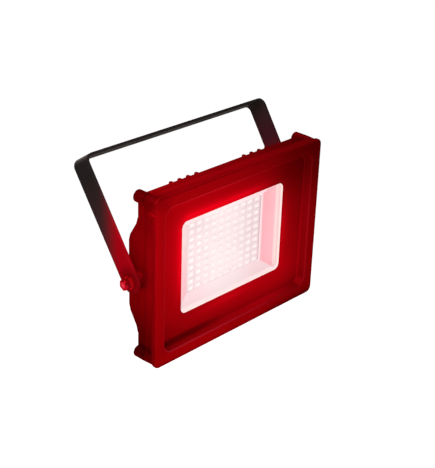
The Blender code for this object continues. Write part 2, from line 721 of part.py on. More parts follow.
def housing_holes(cavity_floor):
    """Tools for every hole in the housing: screws, pivots, gland, leads and earth."""
    holes = []
    for x, z in corners(EAR_X, EAR_Z):
        shank = small_bar(hole_radius(M4_SCREW), HOUSING_FRONT - PAST, FLOOR_BACK + PAST)
        head = small_bar(COUNTERBORE_RADIUS, FLOOR_BACK - COUNTERBORE_DEPTH, FLOOR_BACK + PAST)
        holes.append(along_y(shank, (x, 0, z)))
        holes.append(along_y(head, (x, 0, z)))
    for x, z in corners(BOX_POST_X, BOX_POST_Z):
        hole = small_bar(hole_radius(M3_SCREW), BOX_BACK - COVER_HOLE_DEPTH, BOX_BACK + PAST)
        holes.append(along_y(hole, (x, 0, z)))
    for x, z in corners(BOARD_SCREW_X, BOARD_SCREW_Z):
        hole = small_bar(hole_radius(M2_SCREW), FLOOR_FRONT - PAST, FLOOR_BACK - BOARD_HOLE_SHY)
        holes.append(along_y(hole, (x, 0, z)))
    for side in (-1, 1):
        bore = cylinder(BOLT_RADIUS + GAP, PIVOT_BOSS_FACE - BOLT_ENGAGEMENT - PAST,
                        PIVOT_BOSS_FACE + PAST)
        holes.append(along_x(bore, (0, PIVOT_Y, PIVOT_Z), side))
    wall_out = -BOX_HEIGHT / 2
    gland_hole = cylinder(GLAND_THREAD_RADIUS + GAP, wall_out - PAST, wall_out + WALL + PAST)
    holes.append(placed(gland_hole, (0, GLAND_Y, 0)))
    lead_hole = small_bar(LEAD_HOLE_RADIUS, FLOOR_FRONT - PAST, FLOOR_BACK + PAST)
    holes.append(along_y(lead_hole, (0, 0, LEAD_Z)))
    earth_hole = small_bar(hole_radius(M3_SCREW), cavity_floor - EARTH_HOLE_DEPTH, cavity_floor + PAST)
    holes.append(along_y(earth_hole, (EARTH_X, 0, EARTH_Z)))
    return holes


def make_rear_housing(parent):
    """Die-cast heat sink: tray, fins, driver box, corner ears and pivot bosses, then the holes."""
    piece = solid("rear_housing", loft("rear_housing", housing_tray_loops()), CAST_RED, parent)
    half_box_x = BOX_WIDTH / 2
    half_box_z = BOX_HEIGHT / 2
    added = fin_meshes()
    added.append(box_block(half_box_x, half_box_z, BOX_CORNER, FLOOR_BACK - FIN_ROOT / 2, BOX_BACK))
    for x, z in corners(EAR_X, EAR_Z):
        ear = cylinder(EAR_RADIUS, HOUSING_FRONT + EAR_SHY, FLOOR_BACK + EAR_BACK)
        added.append(along_y(ear, (x, 0, z)))
    for side in (-1, 1):
        boss = cylinder(PIVOT_BOSS_RADIUS, PIVOT_BOSS_FACE - PIVOT_BOSS_DEPTH, PIVOT_BOSS_FACE)
        added.append(along_x(boss, (0, PIVOT_Y, PIVOT_Z), side))
    combine(piece, added, "UNION")

    cavity_floor = FLOOR_BACK - BOX_SKIM
    cavity = box_block(half_box_x - WALL, half_box_z - WALL, SMALL_CORNER, cavity_floor, BOX_BACK + PAST)
    combine(piece, [cavity], "DIFFERENCE")
    posts = [
        along_y(small_bar(BOX_POST_RADIUS, cavity_floor - PAST, BOX_BACK - BOX_POST_SHY), (x, 0, z))
        for x, z in corners(BOX_POST_X, BOX_POST_Z)
    ]
    combine(piece, posts, "UNION")
    combine(piece, housing_holes(cavity_floor), "DIFFERENCE")


def make_frame_screws(parent):
    """Four screws put in from behind through the housing's ears into the front ring."""
    seat = FLOOR_BACK - COUNTERBORE_DEPTH + GAP
    for number, (x, z) in enumerate(corners(EAR_X, EAR_Z), start=1):
        screw = screw_from_behind(M4_SCREW, seat - FRAME_SCREW_TIP)
        solid(f"frame_screw_{number}", screw, STEEL, parent, (x, seat, z))


# ---------------------------------------------------------------- driver box
def make_cover(parent):
    """Flat cover of the driver box with its seal and four screws."""
    half_x = BOX_WIDTH / 2
    half_z = BOX_HEIGHT / 2
    side = COVER_GASKET_INSET
    places = corners(BOX_POST_X, BOX_POST_Z)
    gasket_back = COVER_GASKET_FRONT + COVER_GASKET_THICKNESS
    band = band_loops(half_x - side, half_z - side, BOX_CORNER - side, WALL - 2 * side,
                      BOX_CORNER - WALL + side, COVER_GASKET_FRONT, gasket_back)
    solid("cover_gasket", loft("cover_gasket", band, ring=True), BLACK_RUBBER, parent)
    plate = plate_loops(half_x, half_z, BOX_CORNER, COVER_FRONT, COVER_BACK, COVER_CHAMFER)
    cover = solid("driver_cover", loft("driver_cover", plate), CAST_RED, parent)
    drilled(cover, hole_radius(M3_SCREW), COVER_FRONT, COVER_BACK, places)
    for number, (x, z) in enumerate(places, start=1):
        screw = screw_from_behind(M3_SCREW, COVER_SCREW_LENGTH)
        solid(f"cover_screw_{number}", screw, STEEL, parent, (x, COVER_BACK + GAP, z))


def make_transformer(parent):
    """Ferrite transformer: two flanges and the narrower winding between them."""
    half_x = CORE_HALF_X - WINDING_INSET
    half_z = CORE_HALF_Z - WINDING_INSET
    winding_end = CORE_DEPTH - CORE_FLANGE
    core = loft("transformer", [
        rectangle_loop(CORE_HALF_X, CORE_HALF_Z, SMALL_CORNER, 0.0),
        rectangle_loop(CORE_HALF_X, CORE_HALF_Z, SMALL_CORNER, CORE_FLANGE),
        rectangle_loop(half_x, half_z, SMALL_CORNER, CORE_FLANGE),
        rectangle_loop(half_x, half_z, SMALL_CORNER, winding_end),
        rectangle_loop(CORE_HALF_X, CORE_HALF_Z, SMALL_CORNER, winding_end),
        rectangle_loop(CORE_HALF_X, CORE_HALF_Z, SMALL_CORNER, CORE_DEPTH),
    ])
    solid("transformer", core, FERRITE, parent, (0, DRIVER_PARTS_FRONT, CORE_Z))


def make_capacitors(parent):
    """Two round cans lying along X."""
    for name, radius, length, x in CAPACITORS:
        can = loft(name, [
            round_loop(radius - CAN_EDGE, 0.0),
            round_loop(radius, CAN_EDGE),
            round_loop(radius, length - CAN_EDGE),
            round_loop(radius - CAN_EDGE, length),
        ])
        can.transform(Matrix.Rotation(math.pi / 2, 4, "Y"))
        solid(name, can, CAN_BLUE, parent, (x, DRIVER_PARTS_FRONT + radius, CAPACITOR_Z))


def make_terminal_block(parent):
    """Three-way mains terminal: wire pockets in its lower side, clamp holes in its back."""
    front = DRIVER_PARTS_FRONT
    back = front + TERMINAL_DEPTH
    block_mesh = box_block(TERMINAL_HALF_X, TERMINAL_HALF_Z, SMALL_CORNER, front, back)
    block = solid("terminal_block", block_mesh, TERMINAL_GREEN, parent, (0, 0, TERMINAL_Z))
    cuts = []
    for index in (-1, 0, 1):
        x = index * TERMINAL_PITCH
        pocket = small_bar(WIRE_POCKET_RADIUS, -TERMINAL_HALF_Z - PAST, -PAST)
        clamp = small_bar(CLAMP_HOLE_RADIUS, TERMINAL_DEPTH * 2 / 3, TERMINAL_DEPTH + PAST)
        cuts.append(placed(pocket, (x, front + WIRE_POCKET_Y, 0)))
        cuts.append(along_y(clamp, (x, front, PAST)))
    combine(block, cuts, "DIFFERENCE")


def make_driver(parent):
    """Driver circuit board with its transformer, two capacitors and the mains terminal block."""
    board = box_block(DRIVER_BOARD_HALF_X, DRIVER_BOARD_HALF_Z, SMALL_CORNER, DRIVER_BOARD_FRONT,
                      DRIVER_BOARD_BACK)
    solid("driver_board", board, PCB_GREEN, parent, (0, 0, DRIVER_BOARD_Z))
    make_transformer(parent)
    make_capacitors(parent)
    make_terminal_block(parent)


def lead_route():
    """Where a lead runs, as (y, z): off its pad, over the board's edge and back through the floor."""
    pad_z = BOARD_HEIGHT / 2 - 4 * LEAD_RADIUS
    over = BOARD_FRONT - 2 * LEAD_RADIUS
    radius = LEAD_RADIUS
    return (
        (BOARD_FRONT - GAP, pad_z),
        (over + radius / 2, pad_z + GAP),
        (over, pad_z + 2 * radius),
        (over, LEAD_Z - 2.5 * radius),
        (over + radius, LEAD_Z - radius / 2),
        (over + 3 * radius, LEAD_Z),
        (FLOOR_BACK, LEAD_Z),
        (DRIVER_BOARD_FRONT - GAP, LEAD_Z),
    )


def make_leads(parent):
    """Red and black leads from the LED board's pads, through the floor, to the driver board."""
    route = lead_route()
    for name, look, side in (("led_lead_red", WIRE_RED, -1), ("led_lead_black", WIRE_BLACK, 1)):
        curve = bpy.data.curves.new(name, "CURVE")
        curve.dimensions = "3D"
        curve.bevel_depth = LEAD_RADIUS
        curve.bevel_resolution = 2
        curve.use_fill_caps = True
        spline = curve.splines.new("POLY")
        spline.points.add(len(route) - 1)
        for point, (y, z) in zip(spline.points, route):
            point.co = (0, y, z, 1)
        curve.materials.append(principled(name, look))
        lead = bpy.data.objects.new(name, curve)
        lead.location = (side * LEAD_SPACING / 2, 0, 0)
        lead.parent = parent
        bpy.context.collection.objects.link(lead)


def make_earth(parent):
    """Earthing screw in the floor of the driver box, with its ring terminal."""
    seat = FLOOR_BACK - BOX_SKIM + GAP
    ring = washer_mesh("earth_lug", hole_radius(M3_SCREW), LUG_OUTER, LUG_THICKNESS)
    lug = solid("earth_lug", ring, BRASS, parent, (EARTH_X, seat, EARTH_Z), (-math.pi / 2, 0, 0))
    half = TONGUE_HALF_WIDTH
    outline = ((-half, -TONGUE_START), (half, -TONGUE_START), (half, -TONGUE_END), (-half, -TONGUE_END))
    shy = LUG_THICKNESS / 8
    tongue = loft("tongue", [[(x, y, z) for x, y in outline] for z in (shy, LUG_THICKNESS - shy)])
    combine(lug, [tongue], "UNION")
    screw = screw_from_behind(M3_SCREW, EARTH_SCREW_LENGTH)
    solid("earth_screw", screw, BRASS, parent, (EARTH_X, seat + LUG_THICKNESS + GAP, EARTH_Z))


def make_gland(parent):
    """Cable gland in the bottom wall of the driver box: body, seal, dome nut and lock nut."""
    wall_out = -BOX_HEIGHT / 2
    wall_in = wall_out + WALL
    thread = GLAND_THREAD_RADIUS
    bore = GLAND_BORE_RADIUS
    place = (0, GLAND_Y, 0)
    collar_top = wall_out - GAP
    collar_end = collar_top - GLAND_COLLAR
    nut_top = collar_end - GAP
    neck_end = nut_top - GLAND_NECK
    tail_end = wall_in + GLAND_TAIL
    body = loft("gland_body", [
        round_loop(bore, tail_end),
        round_loop(thread, tail_end),
        round_loop(thread, collar_top),
        hex_loop(GLAND_FLATS, collar_top),
        hex_loop(GLAND_FLATS, collar_end),
        round_loop(thread, collar_end),
        round_loop(thread, neck_end),
        round_loop(bore, neck_end),
    ], ring=True)
    solid("gland_body", body, NYLON_BLACK, parent, place)
    seal_outer = bore - GAP
    seal_top = nut_top - SEAL_TOP_SHY
    seal_end = neck_end - SEAL_STAND
    seal = loft("gland_seal", [
        round_loop(CORD_BORE_RADIUS, seal_top),
        round_loop(seal_outer, seal_top),
        round_loop(seal_outer, neck_end - GAP),
        round_loop(seal_outer + SEAL_FLARE, seal_end),
        round_loop(CORD_BORE_RADIUS, seal_end),
    ], ring=True)
    solid("gland_seal", seal, BLACK_RUBBER, parent, place)
    inner = thread + GAP
    dome_end = seal_end - DOME_HEIGHT
    dome = GLAND_FLATS / 2
    mouth = bore - GAP
    nut = loft("gland_nut", [
        round_loop(inner, nut_top),
        hex_loop(GLAND_FLATS, nut_top),
        hex_loop(GLAND_FLATS, neck_end),
        round_loop(dome - GAP, neck_end - SEAL_STAND / 2),
        round_loop(dome - 2 * PAST, dome_end + SEAL_STAND),
        round_loop(mouth + SEAL_FLARE, dome_end),
        round_loop(mouth, dome_end + GAP),
        round_loop(mouth, seal_end - GAP),
        round_loop(inner, seal_end - GAP),
    ], ring=True)
    solid("gland_nut", nut, NYLON_BLACK, parent, place)
    lock_top = wall_in + GAP
    lock_end = wall_in + LOCKNUT_HEIGHT
    lock = loft("gland_locknut", [
        round_loop(inner, lock_top),
        hex_loop(GLAND_FLATS, lock_top),
        hex_loop(GLAND_FLATS, lock_end),
        round_loop(inner, lock_end),
    ], ring=True)
    solid("gland_locknut", lock, NYLON_BLACK, parent, place)


# ---------------------------------------------------------------- pivots
def spring_washer_mesh(inner, outer, thickness):
    """A split ring: a bar of square section bent round most of a turn."""
    opening = SPRING_WASHER_OPENING
    section = ((inner, 0.0), (outer, 0.0), (outer, thickness), (inner, thickness))
    loops = []
    for index in range(ROUND_SIDES + 1):
        turn = opening / 2 + (2 * math.pi - opening) * index / ROUND_SIDES
        across, up = math.cos(turn), math.sin(turn)
        loops.append([(radius * across, radius * up, height) for radius, height in section])
    return loft("spring_washer", loops)


def pivot_bolt_mesh():
    """Hexagon bolt along Z, underside of the head at height 0."""
    chamfer = BOLT_CHAMFER
    reach = BOLT_HEAD_X - PIVOT_BOSS_FACE + BOLT_ENGAGEMENT
    return loft("pivot_bolt", [
        round_loop(BOLT_HEAD_FLATS / 2 - chamfer, BOLT_HEAD_HEIGHT),
        hex_loop(BOLT_HEAD_FLATS, BOLT_HEAD_HEIGHT - chamfer),
        hex_loop(BOLT_HEAD_FLATS, 0.0),
        round_loop(BOLT_RADIUS, 0.0),
        round_loop(BOLT_RADIUS, chamfer - reach),
        round_loop(BOLT_RADIUS - chamfer, -reach),
    ])


def make_pivots(parent):
    """On each side: friction washer, strap, flat washer, spring washer and the bolt."""
    bore = BOLT_RADIUS + GAP
    for name, side in (("left", -1), ("right", 1)):
        turned = (0, side * math.pi / 2, 0)
        friction = washer_mesh("friction_washer", bore, PIVOT_BOSS_RADIUS, FRICTION_WASHER_THICKNESS)
        flat = washer_mesh("flat_washer", bore, FLAT_WASHER_RADIUS, FLAT_WASHER_THICKNESS)
        spring = spring_washer_mesh(bore, SPRING_WASHER_RADIUS, SPRING_WASHER_THICKNESS)
        stack = (
            ("friction_washer", friction, GREY_FIBRE, FRICTION_WASHER_X),
            ("flat_washer", flat, ZINC, FLAT_WASHER_X),
            ("spring_washer", spring, ZINC, SPRING_WASHER_X),
            ("pivot_bolt", pivot_bolt_mesh(), ZINC, BOLT_HEAD_X),
        )
        for part, mesh_data, look, x in stack:
            solid(f"{part}_{name}", mesh_data, look, parent, (side * x, PIVOT_Y, PIVOT_Z), turned)


# ---------------------------------------------------------------- bracket
def strap_path():
    """Middle line of the strap, as (x, z, outward x, outward z, half width) from tip to tip.

    Heights count down from the crossbar's outer face.  Half the path is worked out and mirrored.
    """
    half = STRAP_THICKNESS / 2
    arm_x = (STRAP_INNER_X + STRAP_OUTER_X) / 2
    bend = STRAP_BEND - half
    tip_radius = STRAP_WIDTH / 2
    lean = math.atan2(STRAP_SPLAY, ARM_LENGTH)
    out_x, out_z = math.cos(lean), -math.sin(lean)
    up_x, up_z = math.sin(lean), math.cos(lean)
    half_path = []
    for index in range(ARC_STEPS + 1):
        angle = math.pi / 2 * index / ARC_STEPS
        along = -tip_radius * math.cos(angle)
        half_path.append((arm_x + up_x * along, -ARM_LENGTH + up_z * along, out_x, out_z,
                          tip_radius * math.sin(angle)))
    turn = math.pi / 2 - lean
    bend_z = -half - bend
    rise = (bend_z - bend * math.sin(-lean) + ARM_LENGTH) / up_z
    end_x = arm_x + up_x * rise
    centre_x = end_x - bend * out_x
    for index in range(ARC_STEPS + 1):
        angle = -lean + (turn + 2 * lean) * index / ARC_STEPS
        half_path.append((centre_x + bend * math.cos(angle), bend_z + bend * math.sin(angle),
                          math.cos(angle), math.sin(angle), tip_radius))
    mirrored = [(-x, z, -nx, nz, width) for x, z, nx, nz, width in reversed(half_path)]
    return half_path + mirrored


def strap_mesh():
    """Sweep the strap's flat section along its path; the tips close on a line."""
    half = STRAP_THICKNESS / 2
    bm = bmesh.new()
    rows = []
    for x, z, out_x, out_z, width in strap_path():
        section = ((half, -width), (half, width), (-half, width), (-half, -width))
        rows.append([bm.verts.new((x + out_x * off, y, z + out_z * off)) for off, y in section])
    for row, following in zip(rows, rows[1:]):
        for index in range(4):
            after = (index + 1) % 4
            bm.faces.new((row[index], row[after], following[after], following[index]))
    bmesh.ops.remove_doubles(bm, verts=bm.verts, dist=1e-6)
    return mesh_from("bracket", bm)


def slot_outline(middle):
    """A stadium in the crossbar, long side along X."""
    radius = SLOT_WIDTH / 2
    reach = SLOT_LENGTH / 2 - radius
    points = []
    for end, start in ((1, -math.pi / 2), (-1, math.pi / 2)):
        for index in range(SLOT_STEPS + 1):
            angle = start + math.pi * index / SLOT_STEPS
            points.append((middle + end * reach + radius * math.cos(angle), radius * math.sin(angle)))
    return points


def make_bracket(parent):
    """U-shaped strap with a slot near each end of its crossbar and a pivot hole in each arm."""
    piece = solid("bracket", strap_mesh(), BLACK_COAT, parent)
    cuts = []
    for side in (-1, 1):
        reach = (STRAP_INNER_X - STRAP_THICKNESS, STRAP_OUTER_X + STRAP_THICKNESS)
        hole = cylinder(BOLT_RADIUS + GAP, *reach)
        cuts.append(along_x(hole, (0, 0, -ARM_LENGTH), side))
        cuts.append(loft("slot", [
            [(x, y, z) for x, y in slot_outline(side * SLOT_X)] for z in (-STRAP_THICKNESS - PAST, PAST)
        ]))
    combine(piece, cuts, "DIFFERENCE")


# ---------------------------------------------------------------- assembly
def clear_scene():
    """Remove whatever the file opened with."""
    for item in list(bpy.data.objects):
        bpy.data.objects.remove(item)


def main():
    """Build the bracket and the lamp that tilts in it."""
    clear_scene()
    bracket_frame = empty("bracket_frame", None, (0, 0, 0), (-BRACKET_LEAN, 0, 0))
    tilt_axis = empty("tilt_axis", None, (0, -ARM_LENGTH * math.sin(BRACKET_LEAN),
                                          -ARM_LENGTH * math.cos(BRACKET_LEAN)))
    lamp_frame = empty("lamp_frame", tilt_axis, (0, -PIVOT_Y, -PIVOT_Z))
    make_bracket(bracket_frame)
    make_front_frame(lamp_frame)
    make_glass(lamp_frame)
    make_frame_gasket(lamp_frame)
    make_reflector(lamp_frame)
    make_led_board(lamp_frame)
    make_rear_housing(lamp_frame)
    make_frame_screws(lamp_frame)
    make_cover(lamp_frame)
    make_driver(lamp_frame)
    make_leads(lamp_frame)
    make_earth(lamp_frame)
    make_gland(lamp_frame)
    make_pivots(lamp_frame)
    bpy.context.view_layer.update()


main()
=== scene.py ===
import math

import bmesh
import bpy
from mathutils import Matrix, Vector


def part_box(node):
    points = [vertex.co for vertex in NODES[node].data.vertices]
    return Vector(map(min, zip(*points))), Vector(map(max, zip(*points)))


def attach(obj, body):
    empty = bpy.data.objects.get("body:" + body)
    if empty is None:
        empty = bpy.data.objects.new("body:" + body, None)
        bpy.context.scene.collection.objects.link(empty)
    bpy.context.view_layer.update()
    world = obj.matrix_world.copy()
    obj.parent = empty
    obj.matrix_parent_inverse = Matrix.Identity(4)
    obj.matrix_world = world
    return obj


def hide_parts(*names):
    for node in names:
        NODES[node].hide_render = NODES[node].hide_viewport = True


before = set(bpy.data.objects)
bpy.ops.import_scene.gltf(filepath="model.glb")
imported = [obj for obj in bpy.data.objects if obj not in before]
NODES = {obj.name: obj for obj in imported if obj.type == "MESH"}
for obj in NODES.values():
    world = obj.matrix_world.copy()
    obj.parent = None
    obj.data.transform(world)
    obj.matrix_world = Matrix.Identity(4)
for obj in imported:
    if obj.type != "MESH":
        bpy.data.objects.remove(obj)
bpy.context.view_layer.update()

MM = 0.001

# The lamp's own frame: x right, y back from the front face, z up from its middle.
RING_LOW, RING_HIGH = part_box("front_frame")
LAMP = Vector(((RING_LOW.x + RING_HIGH.x) / 2, RING_LOW.y, (RING_LOW.z + RING_HIGH.z) / 2))
BOLT_LOW, BOLT_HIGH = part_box("pivot_bolt_left")
PIVOT = (BOLT_LOW + BOLT_HIGH) / 2
ARM_LEAN = math.radians(34)

# Camera: angles in degrees, places in metres, the lens for a picture 468 units high.
CAMERA_AZIMUTH, CAMERA_ELEVATION, CAMERA_ROLL = 46.9, 26.0, 1.92
CAMERA_DISTANCE = 1.068
CAMERA_RIGHT, CAMERA_UP = -0.02307, 0.0149
SENSOR = 36
FOCAL_LENGTH = 1117 / 468 * SENSOR
FLOOR_SIZE, FLOOR_CELLS, FLOOR_LEVEL = 60.0, 24, -0.75

# Half widths, half heights and corner radii of the window and the casing, in mm.
WINDOW_X = 69.6
WINDOW_Z = 47.8
WINDOW_CORNER = 6.5
HALF_X = 112.5
HALF_Z = 86.0
# Depths behind the front face, in mm.
LIP_FRONT = 10.0
LIP_BACK = 11.5
RIB_BACK = 14.5
SEAM = 15.2
SKIRT_BACK = 16.4
# Corner ears, in mm: their places from the middle, and their section as radius and depth.
EAR_X, EAR_Z = 106.2, 79.7
EAR_SECTION = ((4.6, 2.6), (5.0, 3.5), (5.4, 6.0), (5.95, 15.7), (5.8, 16.2), (5.4, SKIRT_BACK))
EAR_SIDES = 40
# Sealant bead, in mm: inset from the window's edge, depth.
BEAD_SECTION = ((0.03, 10.5), (0.03, 12.8), (0.30, 12.85), (0.52, 12.6), (0.55, 11.4), (0.50, 10.8),
                (0.28, 10.3))
# LED board, in mm: half sizes, and its section as inset, corner radius and depth.
BOARD_X, BOARD_Z = 60.0, 46.0
BOARD_SECTION = ((0.4, 1.5, 22.8), (0.0, 1.6, 23.1), (0.0, 1.6, 24.2), (0.4, 1.5, 24.4))
# LED packages, in mm.
LED_COLUMNS, LED_ROWS = 10, 10
LED_PITCH_X = 10.0
LED_PITCH_Z = 7.42
PACKAGE_TOP = 22.0
PACKAGE_SEAT = 22.75
TAB_OFFSET = 3.5
# The reflector's foot and its upper edge, half sizes in metres.
FOOT_X, FOOT_Z = 0.0516, 0.03625
BROW_X, BROW_Z = 0.0655, 0.0455
# The rim's inner edge, half sizes and corner radius in metres.
RIM_X, RIM_Z, RIM_CORNER = 0.1004, 0.0739, 0.010

SHARP_ANGLE = math.radians(38)


# ---------------------------------------------------------------- camera, floor and light
def make_camera():
    azimuth, elevation, roll = map(math.radians, (CAMERA_AZIMUTH, CAMERA_ELEVATION, CAMERA_ROLL))
    back = Vector((-math.sin(azimuth) * math.cos(elevation),
                   -math.cos(azimuth) * math.cos(elevation), math.sin(elevation)))
    right = Vector((math.cos(azimuth), -math.sin(azimuth), 0))
    up = back.cross(right)
    across = math.cos(roll) * right + math.sin(roll) * up
    upright = math.cos(roll) * up - math.sin(roll) * right
    place = LAMP + back * CAMERA_DISTANCE + right * CAMERA_RIGHT + up * CAMERA_UP
    data = bpy.data.cameras.new("camera")
    data.sensor_width = SENSOR
    data.lens = FOCAL_LENGTH
    data.clip_start, data.clip_end = 0.01, 50
    camera = bpy.data.objects.new("camera", data)
    camera.matrix_world = Matrix.Translation(place) @ Matrix((across, upright, back)).transposed().to_4x4()
    bpy.context.scene.collection.objects.link(camera)
    bpy.context.scene.camera = camera


def area_light(name, place, size, power):
    """A square light, hidden from the camera, that points at the lamp's middle."""
    data = bpy.data.lights.new(name, "AREA")
    data.shape = "RECTANGLE"
    data.size = data.size_y = size
    data.energy = power
    light = bpy.data.objects.new(name, data)
    light.location = LAMP + Vector(place)
    light.rotation_mode = "QUATERNION"
    light.rotation_quaternion = (-Vector(place)).to_track_quat("-Z", "Y")
    light.visible_camera = False
    bpy.context.scene.collection.objects.link(light)


def make_stage():
    """White surroundings that give no light on the model, a pale floor and soft studio lights."""
    scene = bpy.context.scene
    scene.view_settings.view_transform = "Standard"
    scene.view_settings.look = "None"
    world = bpy.data.worlds.new("studio")
    scene.world = world
    world.use_nodes = True
    world.node_tree.nodes["Background"].inputs["Color"].default_value = (1.0, 1.0, 1.0, 1.0)
    world.cycles_visibility.diffuse = False
    world.cycles_visibility.glossy = False

    g = Graph("floor_paint")
    grain = g.noise(60, 4, 0.6)
    g.set("Base Color", g.blend(grain, (0.93, 0.93, 0.93), (0.96, 0.96, 0.96)))
    g.set("Roughness", g.span(grain, 0.3, 0.7, 0.75, 0.9))
    g.set("Emission Color", (1.0, 1.0, 1.0))
    g.set("Emission Strength", 1.0)
    g.bump(grain, 0.0005, 0.2)
    bm = bmesh.new()
    bmesh.ops.create_grid(bm, x_segments=FLOOR_CELLS, y_segments=FLOOR_CELLS, size=FLOOR_SIZE)
    mesh = bpy.data.meshes.new("floor")
    bm.to_mesh(mesh)
    bm.free()
    floor = bpy.data.objects.new("floor", mesh)
    floor.location = (0, 0, FLOOR_LEVEL)
    mesh.materials.append(g.material)
    scene.collection.objects.link(floor)

    for name, place, size, power in (
            # name, metres from the lamp's middle, metres across, watts
            ("upper_left", (-0.35, -0.05, 0.35), 0.25, 1.95),
            ("overhead", (0.0, 0.0, 0.6), 0.4, 4.60),
            ("front_low", (0.0, -0.3, -0.3), 0.25, 0.59),
            ("front_high", (-0.3, -0.3, 0.3), 0.25, 0.55),
            ("behind", (0.12, 0.7, 0.08), 0.5, 5.0),
            ("near_front", (-0.06, -0.135, 0.01), 0.12, 0.14)):
        area_light(name, place, size, power)


# ---------------------------------------------------------------- node graphs
class Graph:
    """A material's node tree, built by short calls. A place is in the row frame, in metres."""

    def __init__(self, name):
        self.material = bpy.data.materials.new(name)
        self.material.use_nodes = True
        self.tree = self.material.node_tree
        self.shader = self.tree.nodes["Principled BSDF"]
        self.place = self.tree.nodes.new("ShaderNodeTexCoord").outputs["Object"]
        self.normal = None

    def node(self, kind, inputs=(), **settings):
        made = self.tree.nodes.new("ShaderNode" + kind)
        for name, value in settings.items():
            setattr(made, name, value)
        for slot, value in dict(inputs).items():
            self.join(value, made.inputs[slot])
        return made

    def join(self, value, socket):
        if value is None:
            return
        if isinstance(value, bpy.types.NodeSocket):
            self.tree.links.new(value, socket)
        elif isinstance(value, (tuple, list)) and socket.type == "RGBA" and len(value) == 3:
            socket.default_value = (*value, 1.0)
        else:
            socket.default_value = value

    def set(self, name, value):
        self.join(value, self.shader.inputs[name])

    def math(self, operation, a, b=0.0):
        return self.node("Math", {0: a, 1: b}, operation=operation).outputs[0]

    def times(self, first, *rest):
        for value in rest:
            first = self.math("MULTIPLY", first, value)
        return first

    def plus(self, first, *rest):
        for value in rest:
            first = self.math("ADD", first, value)
        return first

    def minus(self, a, b):
        return self.math("SUBTRACT", a, b)

    def most(self, a, b):
        return self.math("MAXIMUM", a, b)

    def least(self, a, b):
        return self.math("MINIMUM", a, b)

    def away(self, value):
        return self.math("ABSOLUTE", value)

    def fade(self, value):
        """e to the power of the value."""
        return self.math("EXPONENT", value)

    def length(self, a, b):
        return self.math("SQRT", self.plus(self.times(a, a), self.times(b, b)))

    def span(self, value, low, high, to_low=0.0, to_high=1.0, smooth=False):
        kind = "SMOOTHSTEP" if smooth else "LINEAR"
        made = self.node("MapRange", {"Value": value, "From Min": low, "From Max": high,
                                      "To Min": to_low, "To Max": to_high}, interpolation_type=kind)
        return made.outputs["Result"]

    def soft(self, value, low, high, to_low=0.0, to_high=1.0):
        return self.span(value, low, high, to_low, to_high, smooth=True)

    def drop(self, value, low, high):
        """1 up to low, 0 from high."""
        return self.span(value, low, high, 1.0, 0.0)

    def blend(self, share, a, b, mode="MIX"):
        made = self.node("Mix", data_type="RGBA", blend_type=mode, clamp_factor=True)
        self.join(share, made.inputs[0])
        self.join(a, made.inputs[6])
        self.join(b, made.inputs[7])
        return made.outputs[2]

    def noise(self, scale, detail=3.0, roughness=0.5, stretch=None):
        vector = self.place
        if stretch is not None:
            vector = self.node("VectorMath", {0: self.place, 1: stretch}, operation="MULTIPLY").outputs[0]
        made = self.node("TexNoise", {"Vector": vector, "Scale": scale, "Detail": detail,
                                      "Roughness": roughness})
        return made.outputs["Fac"]

    def cells(self, scale):
        return self.node("TexVoronoi", {"Vector": self.place, "Scale": scale}).outputs["Distance"]

    def axes(self, origin=(0, 0, 0)):
        """x, y and z of the place, counted from an origin."""
        moved = self.node("VectorMath", {0: self.place, 1: tuple(origin)}, operation="SUBTRACT").outputs[0]
        return self.node("SeparateXYZ", {0: moved}).outputs

    def edges(self, radius):
        """1 on sharp edges, 0 on flat parts, from how far a rounded normal leans from the true one."""
        rounded_normal = self.node("Bevel", {"Radius": radius}, samples=4).outputs[0]
        true = self.node("NewGeometry").outputs["Normal"]
        facing = self.node("VectorMath", {0: rounded_normal, 1: true}, operation="DOT_PRODUCT")
        return self.soft(facing.outputs["Value"], 0.98, 0.8)

    def bump(self, height, distance, strength=1.0):
        made = self.node("Bump", {"Height": height, "Distance": distance, "Strength": strength,
                                  "Normal": self.normal})
        self.normal = made.outputs[0]
        self.set("Normal", self.normal)


def paint(node, graph):
    """Give a carried-over CAD node its own procedural material."""
    for slot in NODES[node].material_slots:
        slot.material = graph.material


# ---------------------------------------------------------------- materials
def window_distance(g):
    """How far outside the window a place lies in mm, how much of a corner it is, and x, y and z in mm."""
    x, y, z = (g.times(value, 1000.0) for value in g.axes(LAMP))
    over_x = g.most(g.minus(g.away(x), WINDOW_X - WINDOW_CORNER), 0.0)
    over_z = g.most(g.minus(g.away(z), WINDOW_Z - WINDOW_CORNER), 0.0)
    reach = g.most(g.length(over_x, over_z), 0.001)
    corner = g.math("DIVIDE", g.times(g.least(over_x, over_z), math.sqrt(2)), reach)
    return g.most(g.minus(reach, WINDOW_CORNER), 0.0), corner, x, y, z


